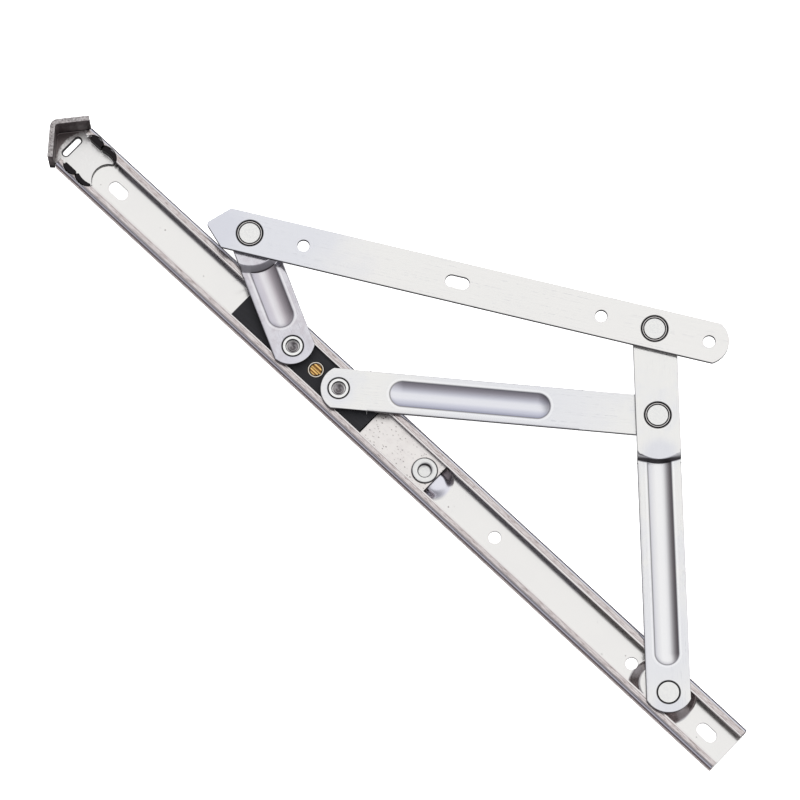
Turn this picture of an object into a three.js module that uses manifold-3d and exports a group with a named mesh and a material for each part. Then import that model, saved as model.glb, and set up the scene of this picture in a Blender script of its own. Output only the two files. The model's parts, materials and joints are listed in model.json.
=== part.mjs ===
// Friction stay hinge for a casement or top-hung window, in its fully open position.
// Frame: origin at the middle of the track's back face, +X along the track towards the
// fixed pivot, +Y towards the side the arms open to, +Z up from the back face. Millimetres.
import * as THREE from "three";
import { mergeVertices } from "three/addons/utils/BufferGeometryUtils.js";
import Module from "manifold-3d";

const wasm = await Module();
wasm.setup();

// ---- Driving dimensions ------------------------------------------------------------

// Track: a rolled C channel.
const TRACK_LENGTH = 356;
const TRACK_WIDTH = 21.2;
const TRACK_HEIGHT = 7.6;
const SHEET = 1.2;
const LIP_WIDTH = 3.8;
const BEND_RADIUS = 1.8;
const SCREW_HOLE_RADIUS = 2.45;
const SLOT_LENGTH = 8.7;
const SLOT_WIDTH = 5;
const UPPER_SLOT_INSET = 24.6;
const LOWER_SLOT_INSET = 11.2;
const PIVOT_HOLE_OFFSET = 19.1;
const MIDDLE_HOLE_OFFSET = 92.6;

// Linkage: distances between pivots, and the long arm's angle to the track when open.
const PIVOT_INSET = 32;
const OPEN_ANGLE = THREE.MathUtils.degToRad(45);
const PIVOT_TO_LINK = 110.5;
const PIVOT_TO_SASH = 145;
const LINK_LENGTH = 126.3;
const SLIDER_PITCH = 25.1;
const SHORT_LENGTH = 48.1;

// Arms: flat strips of sheet, stacked in three layers over the track.
const ARM_SHEET = 2;
const ARM_OVER_TRACK = 0.8;
const LAYER_GAP = 0.6;
const LONG_ARM_WIDTH = 17.3;
const LINK_ARM_WIDTH = 16.3;
const SHORT_ARM_WIDTH = 16.8;
const SASH_BAR_WIDTH = 16.6;
const LONG_END_REACH = 8;
const LINK_END_REACH = 7.2;
const SHORT_END_REACH = 7.3;
const END_BOW = 1.3;
const JOGGLE_LENGTH = 2.2;
const LONG_JOGGLE_BEFORE_LINK = 19.5;
const SHORT_JOGGLE_BEFORE_PIVOT = 15;

// Pressed grooves that stiffen the arms.
const GROOVE_DEPTH = 1.3;
const GROOVE_BULGE = 0.5;
const LONG_GROOVE_WIDTH = 9.4;
const LONG_GROOVE_START = 10.8;
const LINK_GROOVE_WIDTH = 10.3;
const LINK_GROOVE_FROM_SLIDER = 20.3;
const LINK_GROOVE_LENGTH = 63.6;
const SHORT_GROOVE_WIDTH = 10.3;
const SHORT_GROOVE_START = 8.5;

// Sash bar: places along it are measured from the short arm's pivot, or from the long arm's.
const SASH_TIP_REACH = 18;
const SASH_SHOULDER_REACH = 7.6;
const SASH_TIP_RADIUS = 1.6;
const SASH_FIRST_HOLE = 22;
const SASH_MIDDLE_SLOT = 84.8;
const SASH_HOLE_BEFORE_LONG_ARM = 21.7;
const SASH_HOLE_PAST_LONG_ARM = 22.1;
const SASH_TAIL_REACH = 7.9;
const SASH_SLOT_LENGTH = 9.7;
const SASH_SLOT_WIDTH = 4.9;
const SASH_HOLE_RADIUS = 2.4;

// Rivets, bushes and washers.
const SHANK_RADIUS = 2.5;
const HEAD_RADIUS = 4.4;
const HEAD_HEIGHT = 0.9;
const HEAD_SINK = 0.05;
const TAIL_RADIUS = 4.2;
const TAIL_HEIGHT = 0.7;
const BUSH_WALL = 0.55;
const WASHER_RADIUS = 6;
const WASHER_SHEET = 0.3;
const HOLLOW_HEAD_RADIUS = 4.1;
const HOLLOW_RADIUS = 2.4;
const HOLLOW_DEPTH = 2.2;
const OPEN_PIVOT_SHANK_RADIUS = 2;
const OPEN_PIVOT_PLAY = 2.1;
const OPEN_PIVOT_TAIL_RADIUS = 5.4;

// Slider.
const SHOE_UPPER_REACH = 40.2;
const SHOE_LOWER_REACH = 29.7;
const SHOE_SIDE_PLAY = 1;
const SHOE_FLOOR_PLAY = 0.2;
const SHOE_LIP_PLAY = 0.3;
const SHOE_CHAMFER = 0.6;
const CORE_LENGTH = 42;
const CORE_WIDTH = 12;
const CORE_SHEET = 1.8;
const COLLAR_RADIUS = 4.6;
const PAD_SIDE = 8;
const PAD_HEIGHT = 1.1;
const SCREW_RADIUS = 2.5;
const SCREW_PROUD = 0.4;
const SCREW_SLOT_WIDTH = 0.9;
const SCREW_SLOT_DEPTH = 1.2;
const INSERT_RADIUS = 3.2;

// Stop plate and its eyelet.
const STOP_GAP = 0.3;
const STOP_LENGTH = 34.6;
const STOP_SHEET = 1.6;
const STOP_SIDE_PLAY = 0.6;
const EYELET_INSET = 5.3;
const EYELET_RADIUS = 5;
const EYELET_BORE_RADIUS = 2.5;
const EYELET_SHANK_RADIUS = 3.2;
const EYELET_FLANGE = 0.6;
const EMBOSS_HEIGHT = 1.8;
const EMBOSS_RADIUS = 4.6;
const EMBOSS_SPREAD = 0.667;
const EMBOSS_OVERHANG = 6.4;

// Raised boss under the fixed pivot.
const BOSS_RADIUS = 6.5;
const BOSS_SPREAD = 0.59;
const BOSS_STRETCH = 5.9;
const BOSS_POCKET_WALL = 2.4;

// End cap.
const CAP_SHEET = 1.5;
const CAP_WALL = 2.2;
const CAP_HALF_ANGLE = THREE.MathUtils.degToRad(50);
const CAP_APEX_RADIUS = 3.4;
const CAP_END_GAP = 0.67;
const CAP_SIDE_OVERHANG = 1.3;
const CAP_PLATE_REACH = 15.7;
const CAP_NECK_PLAY = 0.5;
const CAP_NOTCH_RADIUS = 6.8;
const CAP_NOTCH_DEPTH = 3.4;
const CAP_SLOT_LENGTH = 9.3;
const CAP_SLOT_WIDTH = 2.5;
const CAP_SLOT_BEYOND_TRACK = 1.3;

// Clearance that pieces which fit together keep, and the facets of a full circle and of a bend.
const FIT = 0.15;
const FACETS = 24;
const BEND_FACETS = 4;

// ---- Levels above the track's back face --------------------------------------------

const INNER_HALF_WIDTH = TRACK_WIDTH / 2 - SHEET;
const LOWER_LAYER = TRACK_HEIGHT + ARM_OVER_TRACK;
const MIDDLE_LAYER = LOWER_LAYER + ARM_SHEET + LAYER_GAP;
const UPPER_LAYER = MIDDLE_LAYER + ARM_SHEET + LAYER_GAP;
const STACK_HEIGHT = UPPER_LAYER + ARM_SHEET;
const BOSS_TOP = LOWER_LAYER - LAYER_GAP;
const EMBOSS_TOP = SHEET + EMBOSS_HEIGHT;
const STOP_LEVEL = EMBOSS_TOP + FIT;
const SHOE_BOTTOM = SHEET + SHOE_FLOOR_PLAY;
const SHOE_TOP = TRACK_HEIGHT - SHEET - SHOE_LIP_PLAY;
const CORE_BOTTOM = SHOE_BOTTOM + FIT;
const BUSH_RADIUS = HEAD_RADIUS + FIT + BUSH_WALL;

// How far a cutting solid runs past the face that it cuts.
const PAST = 1;

// ---- Places of the pivots in the open position ---------------------------------------

const SASH_LENGTH = PIVOT_TO_LINK + LINK_LENGTH + SLIDER_PITCH + SHORT_LENGTH - PIVOT_TO_SASH;
const linkAngle = Math.asin((PIVOT_TO_LINK * Math.sin(OPEN_ANGLE)) / LINK_LENGTH);
const fixedPivotX = TRACK_LENGTH / 2 - PIVOT_INSET;
const linkPivot = fromFixedPivot(PIVOT_TO_LINK);
const sashPivot = fromFixedPivot(PIVOT_TO_SASH);
const sliderLinkX = linkPivot.x - LINK_LENGTH * Math.cos(linkAngle);
const sliderShortX = sliderLinkX - SLIDER_PITCH;
const sliderX = sliderLinkX - SLIDER_PITCH / 2;
const shortAngle = shortArmAngle();
const tipPivot = new THREE.Vector2(
  sliderShortX - SHORT_LENGTH * Math.cos(shortAngle),
  SHORT_LENGTH * Math.sin(shortAngle),
);
const sashAngle = Math.atan2(sashPivot.y - tipPivot.y, sashPivot.x - tipPivot.x);

function fromFixedPivot(distance) {
  return new THREE.Vector2(
    fixedPivotX - distance * Math.cos(OPEN_ANGLE),
    distance * Math.sin(OPEN_ANGLE),
  );
}

// The short arm's angle to the track, from the triangle of its two pivots and the sash pivot.
function shortArmAngle() {
  const dx = sashPivot.x - sliderShortX;
  const dy = sashPivot.y;
  const span = Math.hypot(dx, dy);
  const cosine = (SHORT_LENGTH ** 2 + span ** 2 - SASH_LENGTH ** 2) / (2 * SHORT_LENGTH * span);
  return Math.PI - Math.atan2(dy, dx) - Math.acos(cosine);
}

// ---- Solids ----------------------------------------------------------------------------

function solidOf(geometry) {
  const bare = geometry.clone();
  bare.deleteAttribute("normal");
  bare.deleteAttribute("uv");
  const merged = mergeVertices(bare);
  const corners = merged.index.array;
  const triangles = [];
  for (let i = 0; i < corners.length; i += 3) {
    const [a, b, c] = corners.slice(i, i + 3);
    if (a !== b && b !== c && c !== a) triangles.push(a, b, c);
  }
  const mesh = new wasm.Mesh({
    numProp: 3,
    vertProperties: merged.attributes.position.array,
    triVerts: new Uint32Array(triangles),
  });
  return new wasm.Manifold(mesh);
}

function geometryOf(solid) {
  const mesh = solid.getMesh();
  const positions = new THREE.BufferAttribute(new Float32Array(mesh.vertProperties), 3);
  const geometry = new THREE.BufferGeometry();
  geometry.setAttribute("position", positions);
  geometry.setIndex(new THREE.BufferAttribute(new Uint32Array(mesh.triVerts), 1));
  geometry.computeVertexNormals();
  return geometry;
}

// A flat outline in X and Y, made into a plate between two heights.
function plate(shape, bottom, top) {
  const geometry = new THREE.ExtrudeGeometry(shape, {
    depth: top - bottom,
    bevelEnabled: false,
    curveSegments: FACETS / 2,
  });
  return solidOf(geometry.translate(0, 0, bottom));
}

// An outline in Y and Z, run along X.
function profileAlongX(shape, from, to) {
  const geometry = new THREE.ExtrudeGeometry(shape, {
    depth: to - from,
    bevelEnabled: false,
    curveSegments: BEND_FACETS,
  });
  const turn = new THREE.Matrix4().makeBasis(
    new THREE.Vector3(0, 1, 0),
    new THREE.Vector3(0, 0, 1),
    new THREE.Vector3(1, 0, 0),
  );
  return solidOf(geometry.applyMatrix4(turn).translate(from, 0, 0));
}

// An outline in X and Z, run across Y and centred on it.
function profileAcrossY(points, width) {
  const shape = new THREE.Shape(points.map(([x, z]) => new THREE.Vector2(x, z)));
  const geometry = new THREE.ExtrudeGeometry(shape, { depth: width, bevelEnabled: false });
  const turn = new THREE.Matrix4().makeBasis(
    new THREE.Vector3(1, 0, 0),
    new THREE.Vector3(0, 0, 1),
    new THREE.Vector3(0, -1, 0),
  );
  return solidOf(geometry.applyMatrix4(turn).translate(0, width / 2, 0));
}

// A turned piece about the vertical line at x: points are [radius, height] pairs.
function turned(points, x = 0) {
  const profile = points.map(([radius, height]) => new THREE.Vector2(radius, height));
  const geometry = new THREE.LatheGeometry(profile, FACETS);
  return solidOf(geometry.rotateX(Math.PI / 2).translate(x, 0, 0));
}

function disc(x, radius, bottom, top) {
  const geometry = new THREE.CylinderGeometry(radius, radius, top - bottom, FACETS);
  return solidOf(geometry.rotateX(Math.PI / 2).translate(x, 0, (bottom + top) / 2));
}

function ring(inner, outer, bottom, top) {
  return turned([
    [inner, bottom],
    [outer, bottom],
    [outer, top],
    [inner, top],
    [inner, bottom],
  ]);
}

function block(fromX, toX, width, bottom, top) {
  const geometry = new THREE.BoxGeometry(toX - fromX, width, top - bottom);
  return solidOf(geometry.translate((fromX + toX) / 2, 0, (bottom + top) / 2));
}

// An oblong outline with half-round ends, its long side along X.
function oblong(fromX, toX, width) {
  const radius = width / 2;
  const shape = new THREE.Shape();
  shape.absarc(fromX + radius, 0, radius, Math.PI / 2, (3 * Math.PI) / 2);
  shape.absarc(toX - radius, 0, radius, -Math.PI / 2, Math.PI / 2);
  shape.closePath();
  return shape;
}

// A raised form with sloping sides: a round cone at each end and a ridge between them.
// Its sides spread by the given share of the way down from its flat top.
function raisedForm(fromX, toX, radius, spread, bottom, top) {
  const base = radius + spread * (top - bottom);
  const cone = (x) => {
    const geometry = new THREE.CylinderGeometry(radius, base, top - bottom, FACETS);
    return solidOf(geometry.rotateX(Math.PI / 2).translate(x, 0, (bottom + top) / 2));
  };
  const ridge = new THREE.Shape();
  ridge.moveTo(-base, bottom);
  ridge.lineTo(base, bottom);
  ridge.lineTo(radius, top);
  ridge.lineTo(-radius, top);
  ridge.closePath();
  return cone(fromX).add(cone(toX)).add(profileAlongX(ridge, fromX, toX));
}

function mesh(name, solid, finish) {
  const piece = new THREE.Mesh(geometryOf(solid), finish);
  piece.name = name;
  return piece;
}

function finish(color, roughness, metalness) {
  return new THREE.MeshStandardMaterial({ color, roughness, metalness });
}

const trackSteel = finish(0xcfc9c6, 0.35, 0.9);
const armSteel = finish(0xdcdcde, 0.3, 0.9);
const barSteel = finish(0xe6e6e4, 0.28, 0.9);
const rivetSteel = finish(0xe2e1de, 0.25, 0.95);
const capSteel = finish(0x8c8685, 0.55, 0.8);
const darkSteel = finish(0x77777a, 0.45, 0.85);
const nylon = finish(0x26262a, 0.55, 0);
const washerNylon = finish(0xd8d4cc, 0.6, 0);
const brass = finish(0xc9963b, 0.3, 0.95);

// ---- Track, end cap and stop ---------------------------------------------------------

// The channel's section: the outer face from the floor up one side to its lip, back along the
// inner face to the other lip, and down the outer face of that side.
function channelSection() {
  const outerX = TRACK_WIDTH / 2;
  const lipX = outerX - LIP_WIDTH;
  const inner = BEND_RADIUS - SHEET;
  const shape = new THREE.Shape();
  shape.absarc(outerX - BEND_RADIUS, BEND_RADIUS, BEND_RADIUS, -Math.PI / 2, 0);
  shape.absarc(outerX - BEND_RADIUS, TRACK_HEIGHT - BEND_RADIUS, BEND_RADIUS, 0, Math.PI / 2);
  shape.lineTo(lipX, TRACK_HEIGHT);
  shape.lineTo(lipX, TRACK_HEIGHT - SHEET);
  shape.absarc(outerX - BEND_RADIUS, TRACK_HEIGHT - BEND_RADIUS, inner, Math.PI / 2, 0, true);
  shape.absarc(outerX - BEND_RADIUS, BEND_RADIUS, inner, 0, -Math.PI / 2, true);
  shape.absarc(-outerX + BEND_RADIUS, BEND_RADIUS, inner, -Math.PI / 2, -Math.PI, true);
  shape.absarc(-outerX + BEND_RADIUS, TRACK_HEIGHT - BEND_RADIUS, inner, Math.PI, Math.PI / 2, true);
  shape.lineTo(-lipX, TRACK_HEIGHT - SHEET);
  shape.lineTo(-lipX, TRACK_HEIGHT);
  shape.absarc(-outerX + BEND_RADIUS, TRACK_HEIGHT - BEND_RADIUS, BEND_RADIUS, Math.PI / 2, Math.PI);
  shape.absarc(-outerX + BEND_RADIUS, BEND_RADIUS, BEND_RADIUS, Math.PI, (3 * Math.PI) / 2);
  shape.closePath();
  return shape;
}

const trackLeft = -TRACK_LENGTH / 2;
const trackRight = TRACK_LENGTH / 2;
const stopStart = sliderX + SHOE_LOWER_REACH + STOP_GAP;
const stopEnd = stopStart + STOP_LENGTH;
const eyeletX = stopEnd - EYELET_INSET;
const longJoggleAt = PIVOT_TO_LINK - LONG_JOGGLE_BEFORE_LINK;

// The end cap's wall, seen from above, is a V whose legs end beside the track's end.
const capInnerRadius = CAP_APEX_RADIUS - CAP_WALL;
const capLegLength =
  (TRACK_WIDTH / 2 + CAP_SIDE_OVERHANG - CAP_APEX_RADIUS * Math.cos(CAP_HALF_ANGLE)) /
  Math.sin(CAP_HALF_ANGLE);
const capLegReach = capLegLength * Math.cos(CAP_HALF_ANGLE) - capInnerRadius * Math.sin(CAP_HALF_ANGLE);
const capCentreX = trackLeft - CAP_END_GAP - capLegReach;

function track() {
  const floorHole = (x) => disc(x, SCREW_HOLE_RADIUS, -PAST, SHEET + PAST);
  const floorSlot = (x) =>
    plate(oblong(x - SLOT_LENGTH / 2, x + SLOT_LENGTH / 2, SLOT_WIDTH), -PAST, SHEET + PAST);
  const bossLeft = fixedPivotX - BOSS_STRETCH;
  const bossForm = (bottom, top) =>
    raisedForm(bossLeft, fixedPivotX, BOSS_RADIUS, BOSS_SPREAD, bottom, top);
  const embossFoot = EMBOSS_RADIUS + EMBOSS_SPREAD * EMBOSS_HEIGHT;
  const embossRight = stopEnd + EMBOSS_OVERHANG - embossFoot;
  const embossForm = (bottom, top) =>
    raisedForm(eyeletX, embossRight, EMBOSS_RADIUS, EMBOSS_SPREAD, bottom, top);
  const room = 2 * INNER_HALF_WIDTH;
  const channelInside = block(trackLeft, trackRight, room + SHEET, 0, BOSS_TOP);
  const pocketInside = block(trackLeft, trackRight, room - BOSS_POCKET_WALL, -PAST, BOSS_TOP);
  return profileAlongX(channelSection(), trackLeft, trackRight)
    .add(bossForm(SHEET / 2, BOSS_TOP).intersect(channelInside))
    .add(embossForm(SHEET / 2, EMBOSS_TOP))
    .subtract(bossForm(-PAST, BOSS_TOP - SHEET).intersect(pocketInside))
    .subtract(embossForm(-PAST, EMBOSS_TOP - SHEET))
    .subtract(disc(fixedPivotX, SHANK_RADIUS + FIT, -PAST, BOSS_TOP + PAST))
    .subtract(disc(eyeletX, EYELET_SHANK_RADIUS + FIT, -PAST, EMBOSS_TOP + PAST))
    .subtract(floorHole(fixedPivotX - PIVOT_HOLE_OFFSET))
    .subtract(floorHole(fixedPivotX - MIDDLE_HOLE_OFFSET))
    .subtract(floorSlot(trackLeft + UPPER_SLOT_INSET))
    .subtract(floorSlot(trackRight - LOWER_SLOT_INSET));
}

// The V-shaped wall of the end cap, seen from above: two legs that meet in a round apex.
function capWallOutline() {
  const sine = Math.sin(CAP_HALF_ANGLE);
  const cosine = Math.cos(CAP_HALF_ANGLE);
  const legEnd = (radius, side) => [
    capCentreX - radius * sine + capLegLength * cosine,
    side * (radius * cosine + capLegLength * sine),
  ];
  const start = Math.PI / 2 + CAP_HALF_ANGLE;
  const end = (3 * Math.PI) / 2 - CAP_HALF_ANGLE;
  const shape = new THREE.Shape();
  shape.absarc(capCentreX, 0, CAP_APEX_RADIUS, start, end);
  shape.lineTo(...legEnd(CAP_APEX_RADIUS, -1));
  shape.lineTo(...legEnd(capInnerRadius, -1));
  shape.absarc(capCentreX, 0, capInnerRadius, end, start, true);
  shape.lineTo(...legEnd(capInnerRadius, 1));
  shape.lineTo(...legEnd(CAP_APEX_RADIUS, 1));
  shape.closePath();
  return shape;
}

// The cap's floor: it fills the V and runs into the channel as a neck between the lips.
function capFloorOutline() {
  const wide = TRACK_WIDTH / 2 - CAP_WALL / 2;
  const spread = wide / Math.tan(CAP_HALF_ANGLE);
  const foot = capCentreX + spread - CAP_WALL;
  const neck = TRACK_WIDTH / 2 - LIP_WIDTH + CAP_NECK_PLAY;
  const shape = new THREE.Shape();
  shape.moveTo(capCentreX, 0);
  shape.lineTo(foot, -wide);
  shape.lineTo(trackLeft - 2 * FIT, -wide);
  shape.lineTo(trackLeft - 2 * FIT, -neck);
  shape.lineTo(trackLeft + CAP_PLATE_REACH, -neck);
  shape.lineTo(trackLeft + CAP_PLATE_REACH, neck);
  shape.lineTo(trackLeft - 2 * FIT, neck);
  shape.lineTo(trackLeft - 2 * FIT, wide);
  shape.lineTo(foot, wide);
  shape.closePath();
  return shape;
}

function endCap() {
  const bottom = SHEET + FIT;
  const top = bottom + CAP_SHEET;
  const notchX = trackLeft + CAP_PLATE_REACH - CAP_NOTCH_DEPTH + CAP_NOTCH_RADIUS;
  const slotX = trackLeft - CAP_SLOT_BEYOND_TRACK;
  const slot = plate(oblong(-CAP_SLOT_LENGTH / 2, CAP_SLOT_LENGTH / 2, CAP_SLOT_WIDTH), 0, top + PAST)
    .rotate([0, 0, 90])
    .translate([slotX, 0, 0]);
  return plate(capWallOutline(), 0, STACK_HEIGHT)
    .add(plate(capFloorOutline(), bottom, top))
    .subtract(disc(notchX, CAP_NOTCH_RADIUS, 0, top + PAST))
    .subtract(slot);
}

function stopPlate() {
  const width = 2 * (INNER_HALF_WIDTH - STOP_SIDE_PLAY);
  return block(stopStart, stopEnd, width, STOP_LEVEL, STOP_LEVEL + STOP_SHEET).subtract(
    disc(eyeletX, EYELET_SHANK_RADIUS + FIT, STOP_LEVEL - PAST, STOP_LEVEL + STOP_SHEET + PAST),
  );
}

// A cup-shaped rivet: its rim lies on the stop plate and its foot spreads under the floor.
function stopEyelet() {
  const rim = STOP_LEVEL + STOP_SHEET + FIT;
  const foot = EMBOSS_TOP - SHEET - FIT;
  return turned([
    [0, foot - TAIL_HEIGHT],
    [TAIL_RADIUS, foot - TAIL_HEIGHT],
    [TAIL_RADIUS, foot],
    [EYELET_SHANK_RADIUS, foot],
    [EYELET_SHANK_RADIUS, rim],
    [EYELET_RADIUS, rim],
    [EYELET_RADIUS, rim + EYELET_FLANGE / 2],
    [EYELET_RADIUS - EYELET_FLANGE / 2, rim + EYELET_FLANGE],
    [EYELET_BORE_RADIUS, rim + EYELET_FLANGE],
    [EYELET_BORE_RADIUS, STOP_LEVEL],
    [0, STOP_LEVEL],
  ]);
}

// ---- Arms ----------------------------------------------------------------------------

// A strip with bowed ends that reach past the pivots at 0 and at length.
function stripOutline(length, width, reach) {
  const radius = width / 2 + END_BOW;
  const halfAngle = Math.asin(width / 2 / radius);
  const shape = new THREE.Shape();
  shape.absarc(length + reach - radius, 0, radius, -halfAngle, halfAngle);
  shape.absarc(radius - reach, 0, radius, Math.PI - halfAngle, Math.PI + halfAngle);
  shape.closePath();
  return shape;
}

// The side view of a strip that steps up from one layer to the next.
function joggledStrip(from, stepAt, to, width) {
  const stepEnd = stepAt + JOGGLE_LENGTH;
  return profileAcrossY(
    [
      [from, LOWER_LAYER],
      [stepAt, LOWER_LAYER],
      [stepEnd, MIDDLE_LAYER],
      [to, MIDDLE_LAYER],
      [to, MIDDLE_LAYER + ARM_SHEET],
      [stepEnd, MIDDLE_LAYER + ARM_SHEET],
      [stepAt, LOWER_LAYER + ARM_SHEET],
      [from, LOWER_LAYER + ARM_SHEET],
    ],
    width,
  );
}

// The hollow and the low bulge of a pressed groove in a strip of the lowest layer.
function grooveHollow(from, to, width) {
  const top = LOWER_LAYER + ARM_SHEET;
  return plate(oblong(from, to, width), top - GROOVE_DEPTH, top + LAYER_GAP / 2);
}

function grooveBulge(from, to, width) {
  return plate(oblong(from, to, width), LOWER_LAYER - GROOVE_BULGE, LOWER_LAYER + ARM_SHEET / 2);
}

// A pivot hole in the upper strip of a pair: bore, and a sunk seat for the rivet's head.
function headSeat(x, layer, seatRadius) {
  const top = layer + ARM_SHEET;
  return disc(x, SHANK_RADIUS + FIT, layer - PAST, top + PAST).add(
    disc(x, seatRadius + FIT, top - HEAD_HEIGHT - HEAD_SINK - FIT, top + PAST),
  );
}

// A pivot hole in the lower strip of a pair: bore, and a seat below for the rivet's tail.
function tailSeat(x, layer) {
  return disc(x, SHANK_RADIUS + FIT, layer - PAST, layer + ARM_SHEET + PAST).add(
    disc(x, TAIL_RADIUS + FIT, layer - PAST, layer + TAIL_HEIGHT + FIT),
  );
}

function longArm() {
  const outline = stripOutline(PIVOT_TO_SASH, LONG_ARM_WIDTH, LONG_END_REACH);
  const end = PIVOT_TO_SASH + LONG_END_REACH;
  return joggledStrip(-LONG_END_REACH, longJoggleAt, end, LONG_ARM_WIDTH)
    .add(grooveBulge(LONG_GROOVE_START, longJoggleAt, LONG_GROOVE_WIDTH))
    .intersect(plate(outline, 0, STACK_HEIGHT))
    .subtract(grooveHollow(LONG_GROOVE_START, longJoggleAt, LONG_GROOVE_WIDTH))
    .subtract(headSeat(0, LOWER_LAYER, HEAD_RADIUS))
    .subtract(headSeat(PIVOT_TO_LINK, MIDDLE_LAYER, BUSH_RADIUS))
    .subtract(tailSeat(PIVOT_TO_SASH, MIDDLE_LAYER));
}

function linkArm() {
  const grooveEnd = LINK_LENGTH - LINK_GROOVE_FROM_SLIDER;
  const grooveStart = grooveEnd - LINK_GROOVE_LENGTH;
  const outline = stripOutline(LINK_LENGTH, LINK_ARM_WIDTH, LINK_END_REACH);
  return plate(outline, LOWER_LAYER, LOWER_LAYER + ARM_SHEET)
    .add(grooveBulge(grooveStart, grooveEnd, LINK_GROOVE_WIDTH))
    .subtract(grooveHollow(grooveStart, grooveEnd, LINK_GROOVE_WIDTH))
    .subtract(tailSeat(0, LOWER_LAYER))
    .subtract(headSeat(LINK_LENGTH, LOWER_LAYER, HOLLOW_HEAD_RADIUS));
}

function shortArm() {
  const outline = stripOutline(SHORT_LENGTH, SHORT_ARM_WIDTH, SHORT_END_REACH);
  const end = SHORT_LENGTH + SHORT_END_REACH;
  const stepAt = SHORT_LENGTH - SHORT_JOGGLE_BEFORE_PIVOT;
  const openBore = OPEN_PIVOT_SHANK_RADIUS + OPEN_PIVOT_PLAY;
  return joggledStrip(-SHORT_END_REACH, stepAt, end, SHORT_ARM_WIDTH)
    .add(grooveBulge(SHORT_GROOVE_START, stepAt, SHORT_GROOVE_WIDTH))
    .intersect(plate(outline, 0, STACK_HEIGHT))
    .subtract(grooveHollow(SHORT_GROOVE_START, stepAt, SHORT_GROOVE_WIDTH))
    .subtract(headSeat(0, LOWER_LAYER, HOLLOW_HEAD_RADIUS))
    .subtract(disc(SHORT_LENGTH, openBore, MIDDLE_LAYER - PAST, UPPER_LAYER));
}

// The bar that screws to the sash: x runs from the long arm's pivot to the pointed end.
function sashBarOutline() {
  const half = SASH_BAR_WIDTH / 2;
  const tip = SASH_LENGTH + SASH_TIP_REACH;
  const shoulder = SASH_LENGTH + SASH_SHOULDER_REACH;
  const tipAngle = Math.atan2(half, tip - shoulder);
  const tipCentre = tip - SASH_TIP_RADIUS / Math.sin(tipAngle);
  const tailRadius = half + END_BOW;
  const tailCentre = tailRadius - SASH_HOLE_PAST_LONG_ARM - SASH_TAIL_REACH;
  const tailHalfAngle = Math.asin(half / tailRadius);
  const tipTurn = Math.PI / 2 - tipAngle;
  const shape = new THREE.Shape();
  shape.absarc(tailCentre, 0, tailRadius, Math.PI - tailHalfAngle, Math.PI + tailHalfAngle);
  shape.lineTo(shoulder, -half);
  shape.absarc(tipCentre, 0, SASH_TIP_RADIUS, -tipTurn, tipTurn);
  shape.lineTo(shoulder, half);
  shape.closePath();
  return shape;
}

function sashBar() {
  const top = STACK_HEIGHT + PAST;
  const hole = (x) => disc(x, SASH_HOLE_RADIUS, UPPER_LAYER - PAST, top);
  const slotX = SASH_LENGTH - SASH_MIDDLE_SLOT;
  const slot = oblong(slotX - SASH_SLOT_LENGTH / 2, slotX + SASH_SLOT_LENGTH / 2, SASH_SLOT_WIDTH);
  const tipSeat = disc(
    SASH_LENGTH,
    BUSH_RADIUS + FIT,
    STACK_HEIGHT - HEAD_HEIGHT - HEAD_SINK - FIT,
    top,
  );
  return plate(sashBarOutline(), UPPER_LAYER, STACK_HEIGHT)
    .subtract(hole(SASH_LENGTH - SASH_FIRST_HOLE))
    .subtract(hole(SASH_HOLE_BEFORE_LONG_ARM))
    .subtract(hole(-SASH_HOLE_PAST_LONG_ARM))
    .subtract(plate(slot, UPPER_LAYER - PAST, top))
    .subtract(headSeat(0, UPPER_LAYER, BUSH_RADIUS))
    .subtract(disc(SASH_LENGTH, OPEN_PIVOT_SHANK_RADIUS + FIT, UPPER_LAYER - PAST, top))
    .subtract(tipSeat);
}

// ---- Rivets, bushes and washers --------------------------------------------------------

// A solid rivet from the underside of its tail to the top of its flush head.
function rivet(tailBottom, headTop, shankRadius, tailRadius) {
  return turned([
    [0, tailBottom],
    [tailRadius, tailBottom],
    [tailRadius, tailBottom + TAIL_HEIGHT],
    [shankRadius, tailBottom + TAIL_HEIGHT],
    [shankRadius, headTop - HEAD_HEIGHT],
    [HEAD_RADIUS, headTop - HEAD_HEIGHT],
    [HEAD_RADIUS, headTop],
    [0, headTop],
  ]);
}

// A semi-tubular rivet: the same form with a cone-shaped pit in its spread head.
function hollowRivet(tailBottom, headTop) {
  return turned([
    [0, tailBottom],
    [TAIL_RADIUS, tailBottom],
    [TAIL_RADIUS, tailBottom + TAIL_HEIGHT],
    [SHANK_RADIUS, tailBottom + TAIL_HEIGHT],
    [SHANK_RADIUS, headTop - HEAD_HEIGHT],
    [HOLLOW_HEAD_RADIUS, headTop - HEAD_HEIGHT],
    [HOLLOW_HEAD_RADIUS, headTop],
    [HOLLOW_RADIUS, headTop],
    [0, headTop - HOLLOW_DEPTH],
  ]);
}

// The thin sleeve round a flush head.
function bush(layer) {
  const top = layer + ARM_SHEET - HEAD_SINK;
  return ring(HEAD_RADIUS + FIT, BUSH_RADIUS, top - HEAD_HEIGHT, top);
}

// The washer in the gap under a layer.
function washer(layer, shankRadius) {
  const bottom = layer - (LAYER_GAP + WASHER_SHEET) / 2;
  return ring(shankRadius + FIT, WASHER_RADIUS, bottom, bottom + WASHER_SHEET);
}

// ---- Slider --------------------------------------------------------------------------

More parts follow.
